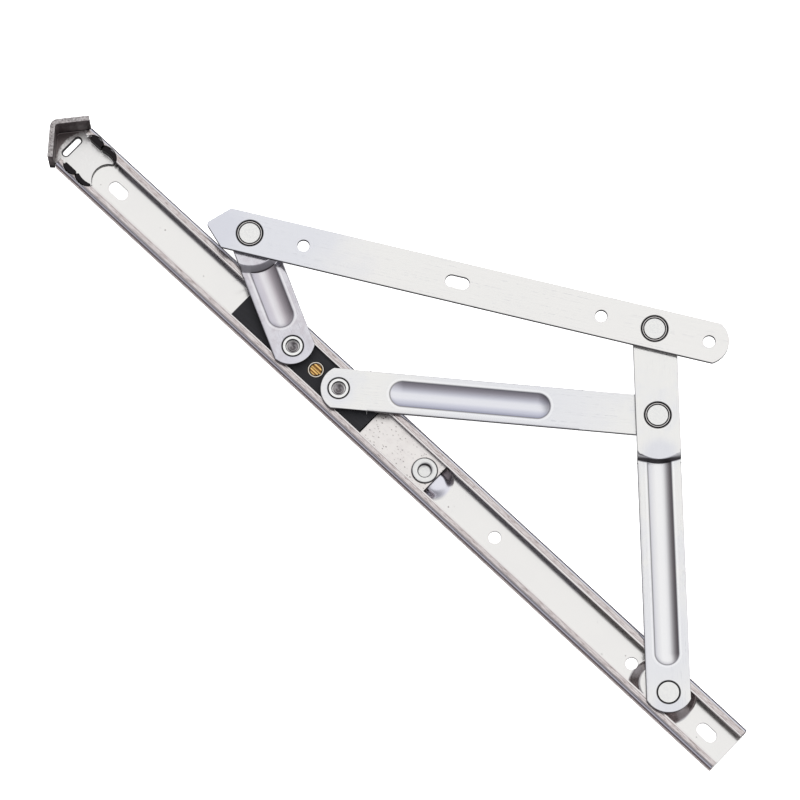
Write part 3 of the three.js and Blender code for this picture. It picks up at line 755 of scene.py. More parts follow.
@dataclass(frozen=True)
class Rimmed:
    """A steel disc with painted shade at its edge where it meets its seat, in its pit and on its upright faces, turned
    true about its own centre.
    """

    name: str
    colour: Colour = (0.80, 0.80, 0.785)
    # Painted shade at the disc's edge, where it meets its seat.
    rim: Colour = (0.30, 0.28, 0.27)
    radius: float = 4.4
    rim_width: float = 0.3
    roughness: float = 0.22
    pit_radius: float = 0.0

    def dress(self, place: Place) -> bpy.types.Material:
        """Makes the material for a turned piece whose axis stands at a place.

        Args:
            place: Where the axis stands.

        Returns:
            The material.
        """
        shader = Shader(self.name)
        point = shader.local(place)
        x, y, _ = shader.split(point)
        away = (x * x + y * y) ** 0.5
        lathe = shader.noise(shader.node("ShaderNodeCombineXYZ", inputs={"X": away * 3.0, "Y": 0.3}), 2.5, 3.0)
        mottle = shader.noise(point, 1.4, 4.0, 0.6)
        colour = shader.mix(mottle.rise(0.35, 0.7) * 0.35, self.colour, (0.66, 0.66, 0.68))
        # Painted shade: the edge darkens to the rim colour.
        edge = away.rise(self.radius - self.rim_width, self.radius)
        colour = shader.mix(edge, colour, self.rim)
        # Painted shade: the pit of a hollow head is darker.
        if self.pit_radius:
            inside = 1 - away.rise(self.pit_radius - 0.25, self.pit_radius + 0.05)
            colour = shader.mix(inside, colour, (0.40, 0.38, 0.385))
        # Painted shade: upright and steep faces are near-black, except in the middle of the pit.
        flat = shader.upright().rise(0.72, 0.92)
        if self.pit_radius:
            flat = flat + (1 - away.rise(self.pit_radius - 0.7, self.pit_radius - 0.6)) * (1 - flat)
        colour = shader.mix(flat, (0.035, 0.03, 0.035), colour)
        shader.feed(shader.surface.inputs["Base Color"], colour)
        shader.feed(shader.surface.inputs["Metallic"], 1.0)
        shader.feed(shader.surface.inputs["Roughness"], (mottle - 0.5) * 0.14 + self.roughness)
        bump = shader.node(
            "ShaderNodeBump", inputs={"Strength": 0.25, "Distance": 0.00002, "Height": lathe + mottle}
        )
        shader.feed(shader.surface.inputs["Normal"], bump)
        return shader.material


@dataclass(frozen=True)
class Plastic:
    """Moulded nylon: an even tone with a fine eggshell surface and rubbed, slightly paler patches."""

    name: str
    colour: Colour
    rubbed: Colour
    roughness: float = 0.5

    def dress(self, place: Place) -> bpy.types.Material:
        """Makes the material.

        Args:
            place: Where the piece's own frame stands.

        Returns:
            The material.
        """
        shader = Shader(self.name)
        point = shader.local(place)
        rub = shader.noise(shader.scaled(point, (0.12, 0.9, 0.9)), 1.0, 4.0).rise(0.45, 0.75)
        eggshell = shader.noise(point, 3.0, 3.0, 0.6)
        shader.feed(shader.surface.inputs["Base Color"], shader.mix(rub * 0.7, self.colour, self.rubbed))
        shader.feed(shader.surface.inputs["Roughness"], (eggshell - 0.5) * 0.2 + rub * 0.08 + self.roughness)
        shader.surface.inputs["Specular IOR Level"].default_value = 0.16
        bump = shader.node(
            "ShaderNodeBump", inputs={"Strength": 0.3, "Distance": 0.00003, "Height": eggshell}
        )
        shader.feed(shader.surface.inputs["Normal"], bump)
        return shader.material


@dataclass(frozen=True)
class Brass:
    """Turned brass: warm yellow with brown tarnish in clouds and between lathe lines across its head."""

    name: str
    colour: Colour = (0.86, 0.56, 0.20)
    tarnish: Colour = (0.20, 0.09, 0.03)

    def dress(self, place: Place) -> bpy.types.Material:
        """Makes the material.

        Args:
            place: Where the piece's own frame stands.

        Returns:
            The material.
        """
        shader = Shader(self.name)
        point = shader.local(place)
        _, y, z = shader.split(point)
        wave = shader.node("ShaderNodeMath", {"operation": "SINE"}, {0: y * 5.4 + 0.6})
        lines = wave.rise(-0.35, 0.45)
        cloud = shader.noise(point, 0.9, 4.0)
        colour = shader.mix(lines, self.tarnish, self.colour)
        colour = shader.mix(cloud.rise(0.55, 0.8) * 0.4, colour, self.tarnish)
        shader.feed(shader.surface.inputs["Base Color"], colour)
        shader.feed(shader.surface.inputs["Metallic"], 1.0)
        shader.feed(shader.surface.inputs["Roughness"], (cloud - 0.5) * 0.2 + 0.28)
        bump = shader.node("ShaderNodeBump", inputs={"Strength": 0.5, "Distance": 0.00004, "Height": lines})
        shader.feed(shader.surface.inputs["Normal"], bump)
        return shader.material


# ---- Where things stand -----------------------------------------------------------------


def middle_of(node: str) -> Vector:
    """The middle of a frame node's box, in millimetres."""
    low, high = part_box(node)
    return (low + high) / (2 * MM)


def heading(start: Vector, end: Vector) -> float:
    """The turn about Z that points from one spot to another."""
    return math.atan2(end.y - start.y, end.x - start.x)


@dataclass(frozen=True)
class Levels:
    """Heights above the track's back face that pieces share, in millimetres."""

    sheet: float = 1.2
    lips: float = 7.6
    lower: float = 8.4
    middle: float = 11.0
    upper: float = 13.6
    arm_sheet: float = 2.0
    sink: float = 0.05
    head: float = 0.9
    tail: float = 0.7

    def flush(self, layer: float) -> float:
        """The top of a head that lies in a layer's upper face."""
        return layer + self.arm_sheet - self.sink


LEVELS = Levels()
FIXED = middle_of("fixed_pivot_rivet")
LINK = middle_of("link_pivot_rivet")
SASH = middle_of("sash_pivot_rivet")
TIP = middle_of("tip_pivot_rivet")
SHORT = middle_of("short_arm_rivet")
SLIDE = middle_of("link_arm_rivet")
SCREW = middle_of("friction_screw")
EYELET = middle_of("stop_eyelet")


@dataclass
class SubAssembly:
    """Pieces that are made and dressed together."""

    bench: Bench

    def put(self, piece: bpy.types.Object, name: str, node: str, place: Place, finish: Any, slot: Slot) -> None:
        """Sets a finished piece down in the hinge, in place of its frame node.

        Args:
            piece: The piece in its own frame.
            name: The piece's name.
            node: The frame node that it stands for.
            place: Where its frame stands.
            finish: The finish that it gets.
            slot: The record's material slot. It is not used.
        """
        self.bench.set_down(piece, name, place)
        piece.data.materials.clear()
        piece.data.materials.append(finish.dress(place))
        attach(piece, frame["nodes"][node]["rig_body"])
        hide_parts(node)
        log.info("%s: %d faces", name, len(piece.data.polygons))


# ---- Track ------------------------------------------------------------------------------


@dataclass
class Track(SubAssembly):
    """The rolled channel with its pressed seats, the stop plate and its eyelet."""

    width: float = 21.2
    lip: float = 3.8
    bend: float = 1.8
    hole_radius: float = 2.45
    slot_length: float = 8.7
    slot_width: float = 5.0
    upper_slot_inset: float = 24.6
    lower_slot_inset: float = 11.2
    pivot_hole: float = 19.1
    middle_hole: float = 92.6
    boss_stretch: float = 5.9
    crimps: tuple[tuple[float, float, float], ...] = ((1.2, 10.0, 2.9), (7.4, 17.2, 2.9))

    def boss_rings(self, x: float, inset: float) -> list[Ring]:
        """The pressed boss under the fixed pivot, from its foot to its flat top.

        Args:
            x: The centre of the half that isn't stretched.
            inset: How far the form is drawn in, for the hollow under it.

        Returns:
            Rings for a stacked form.
        """
        shape = [(11.8, 1.14), (11.1, 1.26), (10.6, 1.55), (10.2, 2.1), (9.8, 2.9), (7.6, 6.9), (7.1, 7.5), (6.4, 7.8)]
        return [Ring(x, radius - inset * 0.8, height - inset) for radius, height in shape]

    def bump_rings(self, x: float, inset: float) -> list[Ring]:
        """The low pressed seat under the stop plate's eyelet, as boss_rings."""
        shape = [(7.8, 1.16), (7.1, 1.24), (6.3, 1.44), (5.5, 1.8), (4.7, 2.25), (3.9, 2.65), (3.1, 2.9), (1.6, 3.0)]
        return [Ring(x, radius - inset * 0.6, height - inset) for radius, height in shape]

    def pressed(self, rings: list[Ring], stretch: float, foot: float) -> bpy.types.Object:
        """A pressed form with its foot run down to a height."""
        first = rings[0]
        return self.bench.stacked([Ring(first.x, first.radius, foot), *rings], stretch=stretch)

    def channel(self) -> bpy.types.Object:
        """The plain rolled channel."""
        bench, half = self.bench, self.width / 2
        low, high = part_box("track")
        left, right = low.x / MM, high.x / MM
        along = lambda e: abs(e.verts[0].co.x - e.verts[1].co.x) > 1.0
        sheet = LEVELS.sheet
        outer = bench.block((left, -half, 0), (right, half, LEVELS.lips))
        bench.round_edges(outer, along, self.bend)
        inner = bench.block((left - PAST, -half + sheet, sheet), (right + PAST, half - sheet, LEVELS.lips - sheet))
        bench.round_edges(inner, along, self.bend - sheet)
        gap = half - self.lip
        mouth = bench.block((left - PAST, -gap, sheet + PAST), (right + PAST, gap, LEVELS.lips + PAST))
        return bench.combine(outer, Joining.CUT, inner, mouth)

    def make_track(self) -> bpy.types.Object:
        """The channel with its boss, its low seat, its holes and the crimps that hold the end cap."""
        bench = self.bench
        low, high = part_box("track")
        left, right = low.x / MM, high.x / MM
        sheet, room = LEVELS.sheet, self.width / 2 - LEVELS.sheet
        piece = self.channel()
        boss_x = FIXED.x - self.boss_stretch
        boss = self.pressed(self.boss_rings(boss_x, 0.0), self.boss_stretch, sheet / 2)
        fits = bench.block((left, -room - sheet / 2, 0), (right, room + sheet / 2, LEVELS.lower))
        boss = bench.combine(boss, Joining.KEEP, fits)
        stop_low, stop_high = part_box("stop_plate")
        reach = stop_high.x / MM + 0.6 - EYELET.x
        bump = self.pressed(self.bump_rings(EYELET.x, 0.0), reach, sheet / 2)
        bench.combine(piece, Joining.ADD, boss, bump)
        pocket = self.pressed(self.boss_rings(boss_x, sheet), self.boss_stretch, -PAST)
        clear = room - sheet
        pocket = bench.combine(pocket, Joining.KEEP, bench.block((left, -clear, -PAST), (right, clear, LEVELS.lips)))
        dimple = self.pressed(self.bump_rings(EYELET.x, sheet), reach, -PAST)
        bench.combine(piece, Joining.CUT, pocket, dimple)
        top = sheet + PAST
        slot_half = self.slot_length / 2
        cutters = [
            bench.disc(FIXED.x, 2.65, -PAST, LEVELS.lower + PAST),
            bench.disc(EYELET.x, 3.35, -PAST, LEVELS.lips),
            bench.disc(FIXED.x - self.pivot_hole, self.hole_radius, -PAST, top),
            bench.disc(FIXED.x - self.middle_hole, self.hole_radius, -PAST, top),
        ]
        for x in (left + self.upper_slot_inset, right - self.lower_slot_inset):
            cutters.append(bench.oblong(x - slot_half, x + slot_half, self.slot_width, -PAST, top))
        for start, end, depth in self.crimps:
            for side in (-1, 1):
                radius = ((end - start) ** 2 / 4 + depth * depth) / (2 * depth)
                bottom = LEVELS.lips - sheet - 0.4
                lens = bench.disc(left + (start + end) / 2, radius, bottom, LEVELS.lips + PAST)
                bench.edit(lens)
                bpy.ops.mesh.select_all(action="SELECT")
                edge = self.width / 2 - self.lip
                bpy.ops.transform.translate(value=(0, side * (edge + depth - radius), 0))
                bench.close()
                keep = bench.block((left, min(side * 6, side * 10), bottom), (left + 18, max(side * 6, side * 10), 12))
                cutters.append(bench.combine(lens, Joining.KEEP, keep))
        bench.combine(piece, Joining.CUT, *cutters)
        return bench.break_edges(piece, 0.2)

    def make_stop(self) -> bpy.types.Object:
        """The plate that stops the slider, with the seat of its eyelet."""
        low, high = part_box("stop_plate")
        piece = self.bench.block(low / MM, high / MM)
        upright = lambda e: abs(e.verts[0].co.z - e.verts[1].co.z) > 1.0
        self.bench.round_edges(piece, upright, 0.6)
        hole = self.bench.disc(EYELET.x, 3.35, 0, LEVELS.lips)
        self.bench.combine(piece, Joining.CUT, hole)
        return self.bench.break_edges(piece, 0.22)

    def make_eyelet(self) -> bpy.types.Object:
        """The cup-shaped rivet that holds the stop plate down, with a rolled rim."""
        low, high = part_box("stop_eyelet")
        foot, top = low.z / MM, high.z / MM
        rim, floor = top - 0.6, top - 2.35
        piece = self.bench.turned(
            [
                (0, foot), (4.0, foot), (4.2, foot + 0.2), (4.2, foot + 0.7), (3.2, foot + 0.7),
                (3.2, rim), (4.75, rim), (4.95, rim + 0.12), (5.0, rim + 0.3), (4.85, rim + 0.5),
                (4.5, top), (3.7, top), (3.0, top - 0.16), (2.65, top - 0.45), (2.5, top - 0.8),
                (2.5, floor + 0.25), (2.2, floor), (0, floor),
            ]
        )
        return self.bench.break_edges(piece, 0.0, 50.0)

    def build(self) -> None:
        """Makes and dresses the track's pieces."""
        finish = ChannelSteel("track_steel_finish")
        self.put(self.make_track(), "track_channel", "track", Place(), finish, Slot.TRACK)
        # Near-black painted shade on the stop plate's upright faces, and a painted shade ring round the eyelet.
        stop_finish = Steel(
            "stop_steel_finish", (0.82, 0.79, 0.77), (0.74, 0.70, 0.685), cloud_size=7.0, pits=1.0, pit_size=1.2,
            roughness=0.3, wall=(0.03, 0.025, 0.03), shaded_crevices=((EYELET.x, 4.95),),
        )
        self.put(self.make_stop(), "stop_plate_strip", "stop_plate", Place(), stop_finish, Slot.TRACK)
        spot = Place(EYELET.x, 0)
        # Painted shade at the eyelet's outer edge and on its upright faces.
        rim = Rimmed("eyelet_finish", radius=5.1, rim_width=0.2, roughness=0.3)
        self.put(self.make_eyelet(), "stop_eyelet_cup", "stop_eyelet", spot, rim, Slot.RIVET)


@dataclass(frozen=True)
class ChannelSteel:
    """The track's steel: clean on the floor, scuffed pinkish grey on the lips, brown on the outer walls, with painted
    light and shade on the bends, the slopes and the +Y side.
    """

    name: str
    floor: Colour = (0.80, 0.79, 0.775)
    lip: Colour = (0.56, 0.50, 0.495)
    lip_pale: Colour = (0.78, 0.75, 0.745)
    scar: Colour = (0.16, 0.12, 0.11)
    # Bluish painted highlight for gently sloping faces of the bends.
    bend: Colour = (0.74, 0.74, 0.82)
    wall: Colour = (0.82, 0.74, 0.72)
    # Dark painted shade for the steep faces of the bends and the top of the outer walls.
    outer_shade: Colour = (0.16, 0.13, 0.135)

    def dress(self, place: Place) -> bpy.types.Material:
        """Makes the material for the track.

        Args:
            place: Where the track's own frame stands.

        Returns:
            The material.
        """
        shader = Shader(self.name)
        point = shader.local(place)
        x, y, z = shader.split(point)
        level = shader.upright()
        side = abs(y)
        streak = shader.noise(shader.scaled(point, (0.05, 2.4, 2.4)), 1.0, 5.0, 0.65)
        scuff = shader.noise(shader.scaled(point, (0.3, 3.6, 1.0)), 1.0, 7.0, 0.8)
        cloud = shader.noise(point, 0.05, 4.0)
        specks = shader.node(
            "ShaderNodeTexVoronoi",
            {"feature": "F1"},
            {"Vector": point, "Scale": 0.28, "Randomness": 1.0},
        )
        floor = shader.mix(cloud.rise(0.42, 0.66) * 0.3, self.floor, (0.77, 0.76, 0.755))
        few = shader.noise(point, 0.11, 2.0).rise(0.5, 0.64)
        floor = shader.mix((1 - specks.rise(0.04, 0.1)) * few, floor, (0.2, 0.17, 0.16))
        # Painted shade on the sloping faces of the boss under the fixed pivot, beyond x = 90 mm.
        slope = (1 - level.rise(0.62, 0.93)) * z.rise(1.1, 1.5) * (1 - side.rise(8.9, 9.2))
        floor = shader.mix(slope * 0.85 * x.rise(90.0, 95.0), floor, (0.26, 0.225, 0.23))
        # Painted reflection: a bluish tint on raised parts of the floor short of x = 90 mm, the low seat under the
        # eyelet.
        floor = shader.mix(z.rise(1.25, 1.7) * (1 - x.rise(90.0, 95.0)) * 0.8, floor, (0.70, 0.70, 0.78))
        high = z.rise(6.6, 7.2) * side.rise(6.4, 6.6)
        band = side.rise(7.3, 7.6) * (1 - side.rise(8.9, 9.3))
        lip = shader.mix(scuff.rise(0.34, 0.56), self.lip_pale, self.lip)
        lip = shader.mix(scuff.rise(0.53, 0.62) * 0.9, lip, self.scar)
        lip = shader.mix(band, self.lip_pale, lip)
        line = (1 - abs(side - 7.45).rise(0.0, 0.16)) + (1 - abs(side - 9.15).rise(0.0, 0.2))
        lip = shader.mix(line * 0.7, lip, self.scar)
        top = shader.mix(high, floor, lip)
        outer = side.rise(8.9, 9.3)
        # Painted highlight: gently sloping faces of the bends take the bluish bend colour.
        bend = shader.mix(level.rise(0.86, 0.985), self.bend, top)
        # Painted shade: steeper faces of the bends take a dark colour.
        bend = shader.mix(level.rise(0.56, 0.76), self.outer_shade, bend)
        # Painted shade: steep faces on the +Y side are made near-black.
        far = y.rise(-1.0, 1.0) * (1 - level.rise(0.66, 0.9))
        bend = shader.mix(far, bend, (0.03, 0.025, 0.03))
        wall = shader.mix(streak.rise(0.36, 0.64), self.wall, (0.45, 0.38, 0.38))
        # Painted shade: the outer wall darkens towards the bend above it.
        wall = shader.mix(z.rise(4.9, 5.7), wall, self.outer_shade)
        edge = shader.mix(level.rise(0.1, 0.3), wall, bend)
        colour = shader.mix(outer, top, edge)
        shader.feed(shader.surface.inputs["Base Color"], colour)
        shader.feed(shader.surface.inputs["Metallic"], 1 - outer * (1 - level.rise(0.1, 0.3)) * 0.4)
        rough = z.rise(6.6, 7.2) * (scuff - 0.35) * 0.35 + (1 - level) * 0.12 + 0.17
        shader.feed(shader.surface.inputs["Roughness"], rough)
        bump = shader.node(
            "ShaderNodeBump",
            inputs={"Strength": 0.25, "Distance": 0.00003, "Height": scuff * z.rise(6.6, 7.2) + streak * 0.12},
        )
        shader.feed(shader.surface.inputs["Normal"], bump)
        return shader.material


# ---- End cap ----------------------------------------------------------------------------


@dataclass
class EndCap(SubAssembly):
    """The pressed cap at the track's upper end, with the V wall that takes the sash bar's point."""

    wall: float = 2.2
    sheet: float = 1.5
    half_angle: float = 50.0
    apex_radius: float = 2.3
    neck: float = 7.3
    plate_reach: float = 15.7
    notch_radius: float = 6.8
    notch_depth: float = 3.4
    slot_length: float = 9.3
    slot_width: float = 2.5
    ears: tuple[tuple[float, float, float], ...] = ((2.4, 8.4, 0.0), (9.0, 16.4, 0.5))
    ear_radius: float = 9.0

    def make_wall(self) -> bpy.types.Object:
        """The V wall: an upright strip folded at its apex, rounded there and given its thickness."""
        bench = self.bench
        low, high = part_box("end_cap")
        half = high.y / MM - self.wall / 2 * math.cos(math.radians(self.half_angle))
        tall = high.z / MM
        apex = low.x / MM + self.wall / 2
        angle = math.radians(self.half_angle)
        bend = apex - self.apex_radius * (1 / math.sin(angle) - 1)
        back = bend + half / math.tan(angle)
        bpy.ops.object.select_all(action="DESELECT")
        bpy.ops.mesh.primitive_plane_add(size=1, location=(0, 0, 0))
        piece = bench._new()
        bench.edit(piece)
        bpy.ops.mesh.select_all(action="SELECT")
        bpy.ops.mesh.merge(type="CENTER")
        bpy.ops.transform.translate(value=(back, -half, 0))
        bpy.ops.mesh.extrude_region_move(TRANSFORM_OT_translate={"value": (bend - back, half, 0)})
        bpy.ops.mesh.extrude_region_move(TRANSFORM_OT_translate={"value": (back - bend, half, 0)})
        bpy.ops.mesh.select_all(action="SELECT")
        bpy.ops.mesh.extrude_region_move(TRANSFORM_OT_translate={"value": (0, 0, tall)})
        bpy.ops.mesh.select_mode(type="EDGE")
        apexes = lambda e: all(abs(v.co.y) < 0.01 for v in e.verts)
        bench.choose(piece, Part.EDGES, apexes)
        bpy.ops.mesh.bevel(
            offset=self.apex_radius / math.tan(angle), offset_type="OFFSET", segments=10, profile=0.5, affect="EDGES"
        )
        bench.close()
        bench.hold(piece)
        bpy.ops.object.modifier_add(type="SOLIDIFY")
        solid = piece.modifiers[-1]
        solid.thickness = self.wall
        solid.offset = 0.0
        solid.use_even_offset = True
        bpy.ops.object.modifier_apply(modifier=solid.name)
        return piece

    def make_cap(self) -> bpy.types.Object:
        """The wall joined to its floor plate, with the cross slot, the notch and the two ears."""
        bench = self.bench
        low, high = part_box("end_cap")
        track_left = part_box("track")[0].x / MM
        bottom = LEVELS.sheet + 0.15
        top = bottom + self.sheet
        end = track_left + self.plate_reach
        piece = self.make_wall()
        plate = bench.block((low.x / MM + 1.7, -9.5, bottom), (track_left - 0.4, 9.5, top))
        neck = bench.block((low.x / MM + 8.0, -self.neck, bottom), (end, self.neck, top))
        plate = bench.combine(plate, Joining.ADD, neck)
        plate = bench.combine(plate, Joining.KEEP, self.inside(low.x / MM))
        notch_x = end - self.notch_depth + self.notch_radius
        slot_x = track_left - 1.3
        slot = bench.oblong(-self.slot_length / 2, self.slot_length / 2, self.slot_width, bottom - PAST, top + PAST)
        slot.matrix_world = Matrix.Translation((slot_x, 0, 0)) @ Matrix.Rotation(math.pi / 2, 4, "Z")
        bench.hold(slot)
        bpy.ops.object.transform_apply(location=True, rotation=True, scale=True)
        bench.combine(plate, Joining.CUT, bench.disc(notch_x, self.notch_radius, bottom - PAST, top + PAST), slot)
        bench.combine(piece, Joining.ADD, plate)
        # Ears that rise into the track's crimps; the cap's finish colours them near-black as painted shade.
        ears = []
        for side in (-1, 1):
            lo, hi = sorted((side * 6.75, side * 9.2))
            for start, end, dent in self.ears:
                ear = bench.block((track_left + start, lo, bottom + 0.2), (track_left + end, hi, LEVELS.lips - 0.4))
                bench.round_edges(ear, lambda e: abs(e.verts[0].co.z - e.verts[1].co.z) > 1.0, 0.6)
                if dent > 0:
                    lens = bench.disc(track_left + (start + end) / 2, self.ear_radius, bottom + self.sheet, LEVELS.lips)
                    bench.edit(lens)
                    bpy.ops.mesh.select_all(action="SELECT")
                    bpy.ops.transform.translate(value=(0, side * (6.75 - self.ear_radius + dent), 0))
                    bench.close()
                    bench.combine(ear, Joining.CUT, lens)
                ears.append(ear)
        bench.combine(piece, Joining.ADD, *ears)
        return bench.break_edges(piece, 0.28)

    def inside(self, apex: float) -> bpy.types.Object:
        """A wedge that fills the V, to trim the floor plate with."""
        bench = self.bench
        angle = math.radians(self.half_angle)
        tip = apex + 1.2
        wedge = bench.block((tip, -14, -PAST), (tip + 60, 14, 10))
        bench.edit(wedge, Part.FACES)
        for side in (-1, 1):
            bpy.ops.mesh.select_all(action="SELECT")
            bpy.ops.mesh.bisect(
                plane_co=(tip, 0, 0),
                plane_no=(-math.sin(angle), side * math.cos(angle), 0),
                use_fill=True,
                clear_outer=True,
            )
        bench.close()
        return wedge

    def build(self) -> None:
        """Makes and dresses the end cap."""
        finish = CapSteel("cap_steel_finish")
        self.put(self.make_cap(), "end_cap_shell", "end_cap", Place(), finish, Slot.CAP)


@dataclass(frozen=True)
class CapSteel:
    """Steel for the cap: painted dark shade on the wall's upright faces and on the ears, a granular rim, and a rubbed
    bright floor plate that darkens towards the wall's foot, with a painted shade line round the slot.
    """

    name: str
    # Painted dark shade for the wall's upright faces.
    wall: Colour = (0.115, 0.095, 0.095)
    rim: Colour = (0.62, 0.59, 0.585)
    plate: Colour = (0.82, 0.81, 0.80)
    # Near-black painted shade for the ears.
    ear: Colour = (0.02, 0.018, 0.02)
    # The circle beyond which the floor plate darkens towards the V wall's foot.
    floor_x: float = -169.6
    floor_radius: float = 13.2
    slot_x: float = -179.3
    slot_reach: float = 3.4
    # How far the painted shade line round the slot lies from the slot's middle line.
    slot_shade_reach: float = 1.5

    def dress(self, place: Place) -> bpy.types.Material:
        """Makes the material.

        Args:
            place: Where the cap's own frame stands.

        Returns:
            The material.
        """
        shader = Shader(self.name)
        point = shader.local(place)
        x, y, z = shader.split(point)
        level = shader.upright().rise(0.3, 0.75)
        grit = shader.noise(point, 1.3, 5.0, 0.75)
        smear = shader.noise(shader.scaled(point, (0.5, 0.5, 0.15)), 0.9, 3.0)
        tall = z.rise(9.0, 12.0)
        rim = shader.mix(grit.rise(0.36, 0.6), (0.22, 0.20, 0.20), self.rim)
        # Darker towards the V wall's foot: a granular band, then painted shade beyond the circle.
        round_about = ((x - self.floor_x) ** 2 + y * y) ** 0.5 - self.floor_radius + (grit - 0.5) * 2.0
        plate = shader.mix(round_about.rise(-2.2, 0.0) * grit.rise(0.36, 0.6) * 0.6, self.plate, (0.42, 0.38, 0.38))
        plate = shader.mix(round_about.rise(-0.4, 0.5) * 0.9, plate, (0.15, 0.12, 0.12))
        beyond = shader.node("ShaderNodeMath", {"operation": "MAXIMUM"}, {0: abs(y) - self.slot_reach, 1: 0.0})
        from_slot = (beyond * beyond + (x - self.slot_x) ** 2) ** 0.5
        # Painted shade: a near-black line just outside the slot's edge.
        slot_shade = 1 - abs(from_slot - self.slot_shade_reach).rise(0.15, 0.5)
        plate = shader.mix(slot_shade * 0.95, plate, (0.015, 0.012, 0.015))
        top = shader.mix(tall, plate, rim)
        # Painted shade on the upright faces, with smeared streaks, near-black towards their foot.
        side = shader.mix(smear.rise(0.35, 0.7), self.wall, (0.20, 0.175, 0.175))
        side = shader.mix(z.rise(3.2, 4.4), (0.02, 0.018, 0.02), side)
        colour = shader.mix(level, side, top)
        # Painted shade: the ears, between these heights, are coloured near-black.
        ear = z.rise(3.0, 3.4) * (1 - z.rise(7.7, 8.0)) * abs(y).rise(6.5, 6.7) * x.rise(-176.5, -176.0)
        shader.feed(shader.surface.inputs["Base Color"], shader.mix(ear, colour, self.ear))
        shader.feed(shader.surface.inputs["Metallic"], 1.0)
        shader.feed(shader.surface.inputs["Roughness"], tall * 0.2 + (1 - level) * 0.2 + (grit - 0.5) * 0.2 + 0.3)
        bump = shader.node(
            "ShaderNodeBump", inputs={"Strength": 0.6, "Distance": 0.00012, "Height": grit * (tall * 0.9 + 0.1)}
        )
        shader.feed(shader.surface.inputs["Normal"], bump)
        return shader.material


# ---- Arms -------------------------------------------------------------------------------


@dataclass(frozen=True)
class Groove:
    """A pressed stiffening groove along an arm."""

    start: float
    end: float
    width: float
    depth: float = 1.3
    wall: float = 1.2


